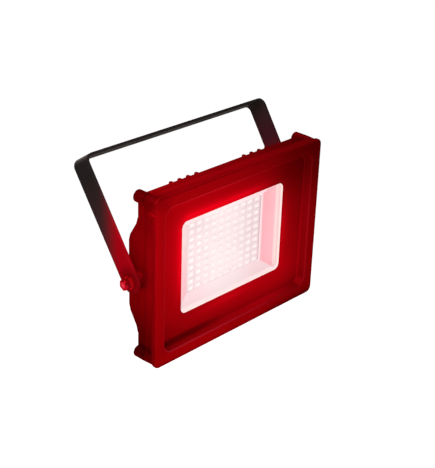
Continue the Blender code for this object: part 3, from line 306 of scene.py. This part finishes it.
def casing_painted_shade(g):
    """Painted shade and light on the coat: full in the middle, darker towards the corners and low on the
    sides.
    """
    x, y, z = g.axes(LAMP)
    x = g.math("DIVIDE", x, HALF_X * MM)
    z = g.math("DIVIDE", z, HALF_Z * MM)
    # painted shade, darker towards the face's corners and edges
    painted_shading = g.plus(1.0, g.times(x, -0.081), g.times(z, -0.064), g.times(x, z, -0.211),
                  g.times(x, x, -0.15), g.times(z, z, -0.15))
    painted_shading = g.most(painted_shading, 0.4)
    left, below = g.times(x, -1.0), g.times(z, -1.0)
    top_edge = g.span(z, 0.975, 0.985)
    housing = g.span(y, 0.0155, 0.0165)
    left_side = g.times(g.span(y, 0.003, 0.006), g.drop(x, -0.93, -0.88))
    ring_side = g.times(left_side, g.drop(y, 0.0155, 0.0165))
    # painted shadow along the step's foot, lower left
    foot = g.times(g.span(below, 0.765, 0.785), g.drop(below, 0.835, 0.855),
                   g.span(y, 0.0045, 0.0065), g.soft(x, -0.45, -0.05, 1.0, 0.0))
    shades = (
        # how much painted shade, and where; a negative amount is painted light
        (0.29, g.times(g.soft(g.least(x, z), 0.25, 0.70), g.drop(z, 0.975, 0.99))),    # upper right
        (0.20, g.times(g.soft(z, 0.3, 0.8), left_side)),                               # left side, high
        (0.12, g.times(g.soft(z, 0.3, 0.8), ring_side)),
        (0.24, g.times(top_edge, g.soft(x, -0.4, 0.4, 1.0, 0.0))),                     # top edge, left half
        (0.20, g.soft(g.least(x, below), 0.50, 0.93)),                                 # lower right
        (0.40, g.times(g.span(below, 0.88, 0.96), g.soft(x, 0.15, 0.55))),             # rim, lower right
        (-0.15, g.times(g.span(below, 0.855, 0.870), g.drop(x, -0.35, 0.0))),          # rim, lower left
        (0.24, g.soft(below, 0.935, 0.985)),                                           # bottom edge
        (0.08, g.times(g.span(y, 0.004, 0.007), g.soft(below, 0.50, 0.66), g.drop(x, -0.75, -0.35))),
        (0.25, g.times(housing, g.span(z, 0.88, 0.94), g.drop(x, 0.2, 0.7))),          # housing's top
        (-0.12, g.times(g.span(z, 0.855, 0.870), g.span(x, -0.85, -0.6), g.drop(x, 0.05, 0.35))),
        (0.26, g.soft(g.least(left, z), 0.78, 0.93)),                                  # upper left corner
        (0.42, g.times(g.span(below, 0.2, 0.65), left_side, housing)),                 # housing's side, low
        (0.28, g.times(g.soft(below, 0.1, 0.85), left_side)),                          # left side, low
        (0.12, g.times(g.soft(below, 0.1, 0.45), ring_side)),
        (0.08, g.times(top_edge, g.soft(x, 0.4, 0.6, 1.0, 0.0))),                      # top edge
        (-0.18, g.times(top_edge, g.soft(x, 0.6, 0.85))),                              # top edge, right end
        (-0.12, g.times(g.span(y, 0.018, 0.020), left_side, g.drop(g.away(z), 0.40, 0.60))),
        (0.45, foot),                                                                  # painted shadow at the step's foot
    )
    for amount, where in shades:
        painted_shading = g.times(painted_shading, g.minus(1.0, g.times(where, amount)))
    return painted_shading


def casing_glow(g):
    """Painted light spilled from the window on the bezel round it, in radiance."""
    distance, corner, x, y, z = window_distance(g)
    upright = g.away(z)
    # which faces catch it: the bezel, and the step's walls above and below it
    long_wall = g.times(g.span(upright, 69.5, 71.0), g.drop(upright, 76.0, 78.0), g.span(y, 0.3, 1.5),
                        g.span(x, 45.0, 95.0, 2.2, 0.3), g.drop(y, 7.0, 7.8))
    front = g.times(g.most(g.soft(y, 5.0, 7.4), long_wall), g.drop(y, 11.0, 11.6))

    # a wide haze, strongest to the upper left
    flat_x = g.math("DIVIDE", x, HALF_X)
    flat_z = g.math("DIVIDE", z, HALF_Z)
    lean = g.plus(1.0, g.times(flat_x, flat_z, -2.08), g.times(flat_x, -0.473), g.times(flat_z, 0.421))
    wide = g.times(g.fade(g.times(distance, -0.05)), 0.158, g.least(g.most(lean, 0.0), 1.65))

    # a narrow bright border along the window's upper and left sides, weaker at its corners
    start = g.span(upright, WINDOW_Z - 4.0, WINDOW_Z + 2.0, 3.6, 5.6)
    past = g.most(g.minus(distance, start), 0.0)
    near = g.times(g.fade(g.times(past, -0.36)), g.span(distance, 0.0, 6.0, 0.50, 1.0),
                   g.minus(1.0, g.times(corner, 0.66)))
    side = g.plus(g.math("DIVIDE", z, WINDOW_Z), g.math("DIVIDE", x, -WINDOW_X))
    upper = g.soft(side, 0.2, 1.05)
    off = g.math("DIVIDE", g.plus(side, 1.0), 0.5)
    lower = g.times(g.fade(g.times(off, off, -1.0)), 0.40)
    near = g.times(near, g.plus(upper, lower), 0.40)

    # painted light lifting the bezel under the top rim
    under_rim = g.times(g.span(z, 65.5, 69.5, 0.0, 0.075), g.drop(x, -10.0, 30.0), g.drop(z, 71.5, 72.5))
    return g.times(g.plus(wide, near, under_rim), front)


def behind_lip(g):
    """1 on the ring's faces behind the lip, inside the rib that holds the glass."""
    x, y, z = g.axes(LAMP)
    outside = g.most(g.minus(g.away(x), WINDOW_X * MM), g.minus(g.away(z), WINDOW_Z * MM))
    return g.times(g.span(y, 0.01152, 0.01160), g.drop(outside, 0.0090, 0.0094))


def inside_housing(g):
    """1 on the housing's inner faces near the glass, which face the lamp's middle or the front."""
    x, y, z = g.axes(LAMP)
    true = g.node("NewGeometry").outputs["Normal"]
    turned = g.node("VectorTransform", {0: true}, vector_type="NORMAL",
                    convert_from="WORLD", convert_to="OBJECT").outputs[0]
    normal = g.node("SeparateXYZ", {0: turned}).outputs
    outward = g.plus(g.times(normal[0], x), g.times(normal[2], z))
    # the corner ears and the pivot bosses also have faces that look inwards, but outside the casing
    wide, high = g.away(x), g.away(z)
    ear = g.times(g.span(wide, 0.0985, 0.0990), g.span(high, 0.0715, 0.0720))
    return g.times(g.math("LESS_THAN", outward, 0.01), g.minus(1.0, ear), g.drop(high, 0.0815, 0.0817),
                   g.drop(wide, 0.1078, 0.1080), g.span(y, 0.0172, 0.0176), g.drop(y, 0.0256, 0.0258))


def rim_crest_highlight(g):
    """1 along a painted highlight on the rim's inner edge, weaker towards the right."""
    x, y, z = g.axes(LAMP)
    out_x = g.most(g.minus(g.away(x), RIM_X - RIM_CORNER), 0.0)
    out_z = g.most(g.minus(g.away(z), RIM_Z - RIM_CORNER), 0.0)
    off = g.away(g.minus(g.length(out_x, out_z), 0.0101))
    return g.times(g.soft(off, 0.0002, 0.0009, 1.0, 0.0), g.drop(y, 0.0012, 0.0020),
                   g.span(x, -0.02, 0.05, 1.0, 0.3))


def red_coat(name, front=False):
    """Satin red paint on a casting: fine orange peel, grain, faint mottling and edges painted paler as a
    highlight.
    """
    g = Graph(name)
    mottle = g.noise(28, 4, 0.6)
    peel = g.noise(900, 3, 0.55)
    grain = g.noise(4200, 2, 0.6)
    specks = g.cells(1500)
    edge = g.edges(0.0007)
    base = g.blend(mottle, (0.192, 0.0004, 0.0018), (0.232, 0.0006, 0.0025))
    base = g.blend(g.span(grain, 0.35, 0.75, 0.0, 0.5), base, (0.25, 0.001, 0.003))
    # painted highlight: paler on the edges
    base = g.blend(g.times(edge, 0.25), base, (0.34, 0.002, 0.006))
    if front:
        # painted highlight along the rim's crest
        crest_highlight = g.times(rim_crest_highlight(g), g.span(mottle, 0.3, 0.7, 0.45, 1.0))
        base = g.blend(crest_highlight, base, (0.36, 0.012, 0.022))
        # painted light: the LEDs' glow on the ring's faces behind the lip, added to the glow round the window
        inside = behind_lip(g)
        g.set("Emission Color", g.blend(inside, (1.0, 0.0, 0.012), (1.0, 0.72, 0.69)))
        g.set("Emission Strength", g.plus(casing_glow(g), g.times(inside, 0.75)))
    else:
        # painted light: the LEDs' glow on the housing's inner faces near the glass
        g.set("Emission Color", g.blend(mottle, (1.0, 0.70, 0.67), (1.0, 0.75, 0.72)))
        g.set("Emission Strength", g.times(inside_housing(g), 0.75))
    # the base colour times the painted shade and light
    g.set("Base Color", g.blend(1.0, base, casing_painted_shade(g), "MULTIPLY"))
    g.set("Roughness", g.minus(g.span(peel, 0.3, 0.7, 0.42, 0.56), g.times(edge, 0.08)))
    g.set("Specular IOR Level", 0.0)
    g.set("Metallic", 0.45)
    g.set("Specular Tint", (1.0, 0.05, 0.06))
    g.bump(peel, 0.00012, 0.35)
    g.bump(grain, 0.00004, 0.30)
    g.bump(g.drop(specks, 0.0, 0.35), 0.00005, 0.25)
    return g


def black_coat(name):
    """Black powder coat on the strap, with painted red light towards the lamp where its glow catches it."""
    g = Graph(name)
    peel = g.noise(1100, 3, 0.6)
    grain = g.noise(4500, 2, 0.6)
    mottle = g.noise(35, 4, 0.6)
    edge = g.edges(0.0006)
    x, y, z = g.axes()
    # along runs down the arm from the bar, forward runs across it towards the lamp's face
    along = g.plus(g.times(y, -math.sin(ARM_LEAN)), g.times(z, -math.cos(ARM_LEAN)))
    forward = g.plus(g.times(y, -math.cos(ARM_LEAN)), g.times(z, math.sin(ARM_LEAN)))
    left, right = g.drop(x, -0.02, 0.02), g.span(x, 0.112, 0.122)
    base = g.blend(mottle, (0.0100, 0.0076, 0.0074), (0.0145, 0.0110, 0.0105))

    # left arm, painted red reflection: warm half way down, red near the lamp, deeper round the bolt
    low = g.soft(g.plus(along, g.times(forward, 1.6)), 0.0365, 0.1015)
    low = g.times(low, low, left)
    base = g.blend(g.times(g.span(along, 0.020, 0.070, 0.0, 0.25), left), base, (0.10, 0.020, 0.025))
    base = g.blend(low, base, (0.30, 0.001, 0.006))

    # right arm, painted red reflection: brown, then purple, then red where the ring hides the rest
    purple = g.times(g.span(along, 0.006, 0.036), right)
    deep = g.times(g.soft(along, 0.038, 0.054), right)
    base = g.blend(g.times(right, 0.7), base, (0.024, 0.010, 0.0085))
    base = g.blend(purple, base, (0.050, 0.0030, 0.0120))
    base = g.blend(deep, base, (0.120, 0.0014, 0.0035))

    past = g.minus(along, math.hypot(PIVOT.y, PIVOT.z))
    tip = g.times(g.soft(g.length(past, forward), 0.008, 0.020, 0.85, 0.0), left)
    base = g.blend(tip, base, (0.160, 0.0009, 0.0030))
    g.set("Base Color", g.blend(g.times(edge, 0.3), base, (0.045, 0.036, 0.036)))
    g.set("Roughness", g.span(peel, 0.3, 0.7, 0.5, 0.66))
    g.set("Specular IOR Level", 0.0)
    g.set("Metallic", 0.35)
    g.set("Specular Tint", g.blend(g.most(low, purple), (0.85, 0.78, 0.78), (1.0, 0.06, 0.10)))
    g.bump(peel, 0.00012, 0.4)
    g.bump(grain, 0.00004, 0.35)
    return g


def bare_metal(name, colour, tint=(1, 1, 1), roughness=(0.22, 0.4), middle=None):
    """Plated or turned metal with fine tool marks, smudges and brighter edges; a bolt's middle can get a
    painted highlight.
    """
    g = Graph(name)
    smudge = g.noise(260, 4, 0.6)
    marks = g.noise(2500, 3, 0.6)
    edge = g.edges(0.0004)
    base = g.blend(smudge, tuple(c * 0.72 for c in colour), colour)
    base = g.blend(g.times(edge, 0.5), base, tuple(min(1.0, c * 1.25) for c in colour))
    if middle is not None:
        x, y, z = g.axes(PIVOT)
        # painted highlight in the middle of the bolt's head
        base = g.blend(g.soft(g.length(y, z), 0.0008, 0.0040, 1.0, 0.0), base, middle)
    g.set("Base Color", base)
    g.set("Metallic", 1.0)
    g.set("Specular Tint", tint)
    g.set("Roughness", g.span(marks, 0.3, 0.7, *roughness))
    g.bump(marks, 0.00003, 0.4)
    g.bump(smudge, 0.00004, 0.15)
    return g


def moulded(name, colour, roughness, specular, fleck=None):
    """Moulded plastic or rubber: fine grain, faint flow marks and small pits."""
    g = Graph(name)
    flow = g.noise(90, 4, 0.55, stretch=(1, 1, 0.4))
    grain = g.noise(3800, 2, 0.6)
    pits = g.cells(2200)
    base = g.blend(flow, tuple(c * 0.78 for c in colour), tuple(min(1.0, c * 1.12) for c in colour))
    if fleck is not None:
        base = g.blend(g.span(pits, 0.0, 0.25, 0.8, 0.0), base, fleck)
    g.set("Base Color", base)
    g.set("Roughness", g.span(grain, 0.3, 0.7, *roughness))
    g.set("Specular IOR Level", specular)
    g.bump(grain, 0.00005, 0.35)
    g.bump(g.span(pits, 0.0, 0.3), 0.00003, 0.25)
    return g


def window_glass(name):
    """Clear tempered glass: a little dust and a faint wave in its surface."""
    g = Graph(name)
    dust = g.noise(900, 4, 0.7)
    wave = g.noise(14, 2, 0.5)
    g.bump(wave, 0.0004, 0.05)
    clear = g.node("BsdfTransparent", {"Color": (1.0, 0.985, 0.985)})
    gloss = g.node("BsdfGlossy", {"Color": (1.0, 0.72, 0.74), "Normal": g.normal,
                                  "Roughness": g.span(dust, 0.5, 0.8, 0.02, 0.07)})
    facing = g.node("Fresnel", {"IOR": 1.45, "Normal": g.normal}).outputs[0]
    outside = g.minus(1.0, g.node("NewGeometry").outputs["Backfacing"])
    mixed = g.node("MixShader", {0: g.times(facing, 0.5, outside), 1: clear.outputs[0], 2: gloss.outputs[0]})
    g.tree.links.new(mixed.outputs[0], g.tree.nodes["Material Output"].inputs["Surface"])
    # The finish for viewers that read only the main shader.
    g.set("Base Color", g.blend(dust, (0.99, 0.965, 0.965), (1.0, 0.985, 0.985)))
    g.set("Roughness", g.span(dust, 0.55, 0.8, 0.0, 0.05))
    g.set("Specular Tint", (1.0, 0.55, 0.58))
    return g


def reflector_white(name):
    """White vacuum-formed reflector in painted LED light: pink side walls, whiter long walls, a cream outer
    band.
    """
    g = Graph(name)
    x, y, z = g.axes(LAMP)
    grain = g.noise(2600, 2, 0.6)
    sheen = g.noise(45, 3, 0.5)
    across, upright = g.away(x), g.away(z)
    slope_x, slope_z = g.minus(across, FOOT_X), g.minus(upright, FOOT_Z)
    end_wall = g.soft(g.minus(g.times(slope_x, 0.74), slope_z), -0.001, 0.0015)
    # painted red light from the LEDs: pink on the end walls
    pink = g.blend(g.span(slope_x, 0.002, 0.014), (0.965, 0.42, 0.47), (0.97, 0.49, 0.54))
    left_pink = g.blend(g.soft(z, -0.03, 0.03), (0.95, 0.52, 0.55), (0.88, 0.70, 0.69))
    pink = g.blend(g.drop(x, -0.01, 0.01), pink, left_pink)
    pale = g.blend(g.soft(across, 0.01, 0.045), (0.955, 0.82, 0.83), (0.95, 0.74, 0.76))
    band = g.soft(g.most(g.minus(across, BROW_X), g.minus(upright, BROW_Z)), 0.0008, 0.0034)
    cream = g.blend(end_wall, (0.955, 0.84, 0.83), (0.89, 0.67, 0.655))
    colour = g.blend(band, g.blend(end_wall, pale, pink), cream)
    # painted highlight along the reflector's foot
    foot = g.times(g.span(y, 0.0211, 0.0216), g.span(x, 0.045, 0.050))
    colour = g.blend(foot, colour, (1.0, 0.83, 0.845))
    colour = g.blend(g.span(sheen, 0.35, 0.7, 0.0, 0.06), colour, (1.0, 0.9, 0.9))
    finish_lit(g, colour, grain, g.span(band, 0.0, 1.0, 0.63, 0.74), roughness=(0.38, 0.5), grain_bump=0.2)
    g.bump(sheen, 0.0003, 0.15)
    return g


def painted_glow(name, colour, dim, strength):
    """A surface in painted light, given as emission, whose brightness drifts a little from place to place."""
    g = Graph(name)
    drift = g.noise(1400, 2, 0.5)
    finish_lit(g, g.blend(drift, dim, colour), drift, drifting(g, strength))
    return g


def drifting(g, strength):
    return g.span(g.noise(22, 2, 0.5), 0.3, 0.7, strength * 0.96, strength * 1.04)


def finish_lit(g, colour, grain, strength, roughness=(0.35, 0.5), grain_bump=0.25):
    """A white moulding in the LEDs' glare: its colour is shared between painted light, given as emission, and
    the studio's lamps.
    """
    g.set("Base Color", g.blend(1.0, colour, g.span(grain, 0.3, 0.7, 0.30, 0.34), "MULTIPLY"))
    g.set("Roughness", g.span(grain, 0.3, 0.7, *roughness))
    g.set("Specular IOR Level", 0.15)
    g.set("Emission Color", colour)
    g.set("Emission Strength", strength)
    g.bump(grain, 0.00003, grain_bump)


def board_light(name, peak, strength):
    """The lit board: pale blobs at the LEDs, nearly lost in the glare mid-board, clearer at the sides."""
    g = Graph(name)
    x, y, z = g.axes(LAMP)
    grain = g.noise(3000, 2, 0.6)
    shade = g.noise(60, 3, 0.5)
    across = g.away(x)
    side = g.soft(g.plus(across, g.times(shade, 0.024)), 0.022, 0.056)

    def in_cell(value, shift, pitch):
        """The place in its LED's cell, from -0.5 to 0.5; the shift is a whole number of cells."""
        return g.minus(g.math("FRACT", g.math("DIVIDE", g.plus(value, shift), pitch * MM)), 0.5)

    cell_x, cell_z = in_cell(x, 0.1, LED_PITCH_X), in_cell(z, 0.0742, LED_PITCH_Z)
    off_x, off_z = g.math("DIVIDE", cell_x, 0.27), g.math("DIVIDE", cell_z, 0.30)
    blob = g.fade(g.times(g.plus(g.times(off_x, off_x), g.times(off_z, off_z)), -1.0))
    lane = g.most(g.span(g.away(cell_x), 0.34, 0.44), g.span(g.away(cell_z), 0.32, 0.44))
    ground = g.blend(side, (0.955, 0.84, 0.84), (0.93, 0.80, 0.81))
    line = g.blend(side, (0.945, 0.82, 0.825), (0.82, 0.67, 0.69))
    colour = g.blend(lane, ground, line)
    patch = g.span(g.noise(70, 2, 0.5), 0.35, 0.65, 0.35, 1.0)
    colour = g.blend(g.times(blob, patch, g.span(side, 0.0, 1.0, 0.55, 1.0)), colour, peak)
    # shadow line where the board runs under the reflector's foot
    under_x = g.span(g.minus(across, 0.0500), 0.0, 0.0008, 0.0, 0.8)
    under_z = g.span(g.minus(g.away(z), 0.0358), 0.0, 0.0008, 0.0, 0.25)
    colour = g.blend(g.most(under_x, under_z), colour, (0.70, 0.47, 0.50))
    finish_lit(g, colour, grain, drifting(g, strength))
    return g


# ---------------------------------------------------------------- shapes
def placed_mesh(name, bm):
    """A mesh in the row frame, in metres, from a bmesh drawn in the lamp's frame, in mm."""
    bmesh.ops.recalc_face_normals(bm, faces=bm.faces)
    mesh = bpy.data.meshes.new(name)
    bm.to_mesh(mesh)
    bm.free()
    mesh.transform(Matrix.Translation(LAMP) @ Matrix.Scale(MM, 4))
    return mesh


def shade(mesh):
    mesh.shade_smooth()
    mesh.set_sharp_from_angle(angle=SHARP_ANGLE)


def mesh_object(name, bm, graphs):
    """Link a bmesh as a piece that rides on the lamp."""
    mesh = placed_mesh(name, bm)
    shade(mesh)
    piece = bpy.data.objects.new(name, mesh)
    bpy.context.scene.collection.objects.link(piece)
    for graph in graphs:
        mesh.materials.append(graph.material)
    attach(piece, "lamp")
    return piece


def rounded(half_x, half_z, corner, depth, steps=12):
    """A rounded rectangle as a loop of points."""
    points = []
    for quarter, (side_x, side_z) in enumerate(((1, 1), (-1, 1), (-1, -1), (1, -1))):
        for step in range(steps + 1):
            angle = (quarter + step / steps) * math.pi / 2
            points.append((side_x * (half_x - corner) + corner * math.cos(angle), depth,
                           side_z * (half_z - corner) + corner * math.sin(angle)))
    return points


def skin(bm, loops, ring=False, cap=True, material=0):
    """Faces between neighbouring loops; the first and last are joined, or capped."""
    rows = [[bm.verts.new(point) for point in loop] for loop in loops]
    pairs = list(zip(rows, rows[1:]))
    if ring:
        pairs.append((rows[-1], rows[0]))
    elif cap:
        bm.faces.new(rows[0]).material_index = material
        bm.faces.new(rows[-1]).material_index = material
    for row, following in pairs:
        for index, vert in enumerate(row):
            after = (index + 1) % len(row)
            face = bm.faces.new((vert, row[after], following[after], following[index]))
            face.material_index = material
    return rows


def eased(before, corner, after, reach, steps=4):
    """Points that round one corner of a section; a point is half width, half height, corner radius, depth."""
    def towards(other):
        apart = math.hypot(other[0] - corner[0], other[3] - corner[3])
        return corner + (other - corner) * min(0.5, reach / apart)

    start, end = towards(before), towards(after)
    made = []
    for index in range(steps + 1):
        t = index / steps
        made.append(start * (1 - t) ** 2 + corner * (2 * t * (1 - t)) + end * t ** 2)
    return made


def ring_section():
    """The ring's section as rounded rectangles, from the outer edge round to the rim's inner edge."""
    def outer(inset, corner, depth):
        return Vector((HALF_X - inset, HALF_Z - inset, corner, depth))

    def inner(outset, corner, depth):
        return Vector((WINDOW_X + outset, WINDOW_Z + outset, corner, depth))

    sharp = (
        # rounded rectangle, reach of its rounding
        (outer(0.0, 6.0, 0.0), 1.3),                      # outer side, then the tapered skirt
        (outer(0.0, 6.0, 4.0), 0.4),
        (outer(0.8, 5.2, 4.8), 0.3),
        (outer(2.45, 5.2, SKIRT_BACK), 0.1),
        (outer(3.60, 5.0, SKIRT_BACK), 0.1),
        (outer(3.60, 5.0, SEAM), 0.0),                    # seam land and the hollow behind the rim
        (outer(5.3, 22.0, SEAM), 0.0),
        (outer(3.8, 22.0, 3.0), 0.0),
        (outer(9.6, 10.0, 3.0), 0.0),
        (outer(12.6, 10.0, LIP_BACK), 0.0),
        (inner(8.3, 9.2, LIP_BACK), 0.0),                 # rib round the glass
        (inner(8.3, 9.2, RIB_BACK), 0.2),
        (inner(6.4, 7.3, RIB_BACK), 0.2),
        (inner(6.4, 7.3, LIP_BACK), 0.0),
        (inner(0.0, WINDOW_CORNER, LIP_BACK), 0.2),       # lip at the window
        (inner(0.0, WINDOW_CORNER, LIP_FRONT), 0.5),
        (inner(5.0, 8.0, 9.0), 1.2),                      # sloping bezel, then the step's wall
        (outer(15.2, 9.0, 8.0), 1.4),
        (outer(12.2, 10.0, 0.0), 0.9),
    )
    loops = []
    for index, (corner, reach) in enumerate(sharp):
        if reach:
            loops.extend(eased(sharp[index - 1][0], corner, sharp[(index + 1) % len(sharp)][0], reach))
        else:
            loops.append(corner)
    return loops


def ring_ear(x, z):
    """One round ear of the front ring, as an object for a union."""
    bm = bmesh.new()
    loops = []
    for radius, depth in EAR_SECTION:
        loops.append([(x + radius * math.cos(t), depth, z + radius * math.sin(t))
                      for t in (2 * math.pi * i / EAR_SIDES for i in range(EAR_SIDES))])
    skin(bm, loops)
    return bm


def unite(piece, additions):
    """Join meshes drawn in the lamp's frame to a piece, one after another."""
    for bm in additions:
        tool = bpy.data.objects.new("tool", placed_mesh("tool", bm))
        bpy.context.scene.collection.objects.link(tool)
        step = piece.modifiers.new("step", "BOOLEAN")
        step.operation, step.solver, step.object = "UNION", "EXACT", tool
        bpy.context.view_layer.update()
        view = bpy.context.evaluated_depsgraph_get()
        result = bpy.data.meshes.new_from_object(piece.evaluated_get(view))
        piece.modifiers.clear()
        result.name = piece.data.name
        piece.data = result
        bpy.data.objects.remove(tool)
    shade(piece.data)


def make_ring(graph):
    """Front ring with rounded edges, a filleted step and a sloping bezel."""
    bm = bmesh.new()
    skin(bm, [rounded(*loop) for loop in ring_section()], ring=True)
    piece = mesh_object("casing_ring", bm, [graph])
    unite(piece, [ring_ear(x, z) for x in (-EAR_X, EAR_X) for z in (-EAR_Z, EAR_Z)])
    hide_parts("front_frame")


def make_led_board(mask, body, lens, metal):
    """White board with 100 packages: moulded cup, domed lens and two metal tabs each."""
    bm = bmesh.new()
    skin(bm, [rounded(BOARD_X - inset, BOARD_Z - inset, corner, depth, 4)
              for inset, corner, depth in BOARD_SECTION])
    for column in range(LED_COLUMNS):
        for row in range(LED_ROWS):
            x = (column - (LED_COLUMNS - 1) / 2) * LED_PITCH_X
            z = (row - (LED_ROWS - 1) / 2) * LED_PITCH_Z
            add_package(bm, x, z)
    piece = mesh_object("led_field", bm, [mask, body, lens, metal])
    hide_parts("led_board")


def shifted(points, x, z):
    return [(px + x, py, pz + z) for px, py, pz in points]


def add_package(bm, x, z):
    """One LED: its cup, dome and tabs use the board's materials 1, 2 and 3."""
    top, seat = PACKAGE_TOP, PACKAGE_SEAT
    cup = [rounded(3.2, 2.1, 0.5, seat, 3), rounded(3.1, 2.0, 0.5, top + 0.05, 3),
           rounded(3.0, 1.9, 0.5, top, 3), rounded(2.75, 1.65, 0.9, top, 3),
           rounded(2.6, 1.5, 0.9, top + 0.12, 3)]
    skin(bm, [shifted(loop, x, z) for loop in cup], cap=False, material=1)
    dome = [rounded(2.6, 1.5, 0.9, top + 0.12, 3), rounded(2.2, 1.2, 0.9, top + 0.02, 3),
            rounded(1.5, 0.8, 0.7, top - 0.06, 3)]
    rows = skin(bm, [shifted(loop, x, z) for loop in dome], cap=False, material=2)
    bm.faces.new(rows[-1]).material_index = 2
    for side in (-1, 1):
        tab = [rounded(0.45, 1.3, 0.1, seat, 1), rounded(0.45, 1.3, 0.1, seat - 0.15, 1)]
        skin(bm, [shifted(loop, x + side * TAB_OFFSET, z) for loop in tab], material=3)


def make_bead(graph):
    """Clear sealant bead on the window's inner wall, in front of the glass."""
    bm = bmesh.new()
    skin(bm, [rounded(WINDOW_X - inset, WINDOW_Z - inset, WINDOW_CORNER - inset, depth)
              for inset, depth in BEAD_SECTION], ring=True)
    mesh_object("window_bead", bm, [graph])


def soften(names, width):
    """Round the sharp edges of carried-over CAD nodes."""
    for name in names:
        bevel = NODES[name].modifiers.new("rounding", "BEVEL")
        bevel.width = width
        bevel.segments = 2
        bevel.limit_method = "ANGLE"
        bevel.angle_limit = SHARP_ANGLE
        bevel.use_clamp_overlap = True
        bevel.harden_normals = False


# ---------------------------------------------------------------- assembly
SIDES = ("left", "right")
RED_TINT = (1.0, 0.2, 0.2)

make_camera()
make_stage()

make_ring(red_coat("red_paint_front", front=True))
# the lenses are the lamp; the board mask, package bodies and tabs glow with painted light for their glare
make_led_board(board_light("board_mask", (0.97, 0.87, 0.87), 0.63),
               board_light("package_body", (0.985, 0.91, 0.90), 0.63),
               board_light("led_lens", (1.0, 0.96, 0.945), 0.64),
               board_light("tinned_tab", (0.95, 0.84, 0.84), 0.60))
# the bead glows with painted light for the LEDs' glare
make_bead(painted_glow("bead", (1.0, 0.82, 0.78), (1.0, 0.76, 0.73), 0.62))

soften(["rear_housing"], 0.0005)
soften(["bracket", "driver_cover"], 0.0004)
soften([f"pivot_bolt_{side}" for side in SIDES] + ["gland_body", "gland_nut"], 0.00025)

for graph, names in (
        # material, the CAD nodes that wear it
        (red_coat("red_paint"), ["rear_housing", "driver_cover"]),
        (black_coat("black_powder_coat"), ["bracket"]),
        # bolts and washers coloured red as a painted reflection of the lamp's red glow
        (bare_metal("bolt_red", (0.42, 0.005, 0.014), RED_TINT, middle=(0.74, 0.045, 0.070)),
         [f"pivot_bolt_{side}" for side in SIDES]),
        (bare_metal("zinc_plate", (0.62, 0.006, 0.014), RED_TINT, (0.4, 0.6)),
         [f"{kind}_washer_{side}" for kind in ("flat", "spring") for side in SIDES]),
        (bare_metal("turned_steel", (0.38, 0.35, 0.35), roughness=(0.3, 0.5)),
         [f"{kind}_screw_{number}" for kind in ("frame", "cover", "board") for number in range(1, 5)]),
        (bare_metal("brass", (0.70, 0.52, 0.24)), ["earth_lug", "earth_screw"]),
        (moulded("red_fibre", (0.11, 0.004, 0.007), (0.7, 0.9), 0.0, fleck=(0.16, 0.012, 0.016)),
         [f"friction_washer_{side}" for side in SIDES]),
        (moulded("black_rubber", (0.02, 0.02, 0.021), (0.6, 0.8), 0.3), ["cover_gasket", "gland_seal"]),
        (moulded("red_silicone", (0.10, 0.002, 0.004), (0.5, 0.7), 0.0), ["frame_gasket"]),
        # the glass gasket glows with painted light for the LEDs' glare
        (painted_glow("clear_silicone", (1.0, 0.74, 0.70), (0.95, 0.66, 0.63), 0.55), ["glass_gasket"]),
        (moulded("black_nylon", (0.028, 0.026, 0.027), (0.4, 0.55), 0.4),
         ["gland_body", "gland_nut", "gland_locknut"]),
        (window_glass("window_glass"), ["front_glass"]),
        (reflector_white("reflector_white"), ["reflector"]),
        (moulded("thermal_pad", (0.42, 0.42, 0.44), (0.6, 0.8), 0.2), ["thermal_pad"]),
        (moulded("green_mask", (0.02, 0.15, 0.06), (0.3, 0.45), 0.5, fleck=(0.1, 0.25, 0.1)),
         ["driver_board"]),
        (moulded("ferrite", (0.08, 0.07, 0.06), (0.5, 0.7), 0.3, fleck=(0.16, 0.15, 0.14)),
         ["transformer"]),
        (moulded("can_sleeve", (0.03, 0.05, 0.16), (0.25, 0.4), 0.5),
         ["capacitor_input", "capacitor_output"]),
        (moulded("terminal_green", (0.04, 0.20, 0.09), (0.4, 0.6), 0.4), ["terminal_block"]),
        (moulded("wire_red", (0.5, 0.02, 0.02), (0.35, 0.5), 0.4), ["led_lead_red"]),
        (moulded("wire_black", (0.02, 0.02, 0.02), (0.35, 0.5), 0.4), ["led_lead_black"])):
    for name in names:
        paint(name, graph)
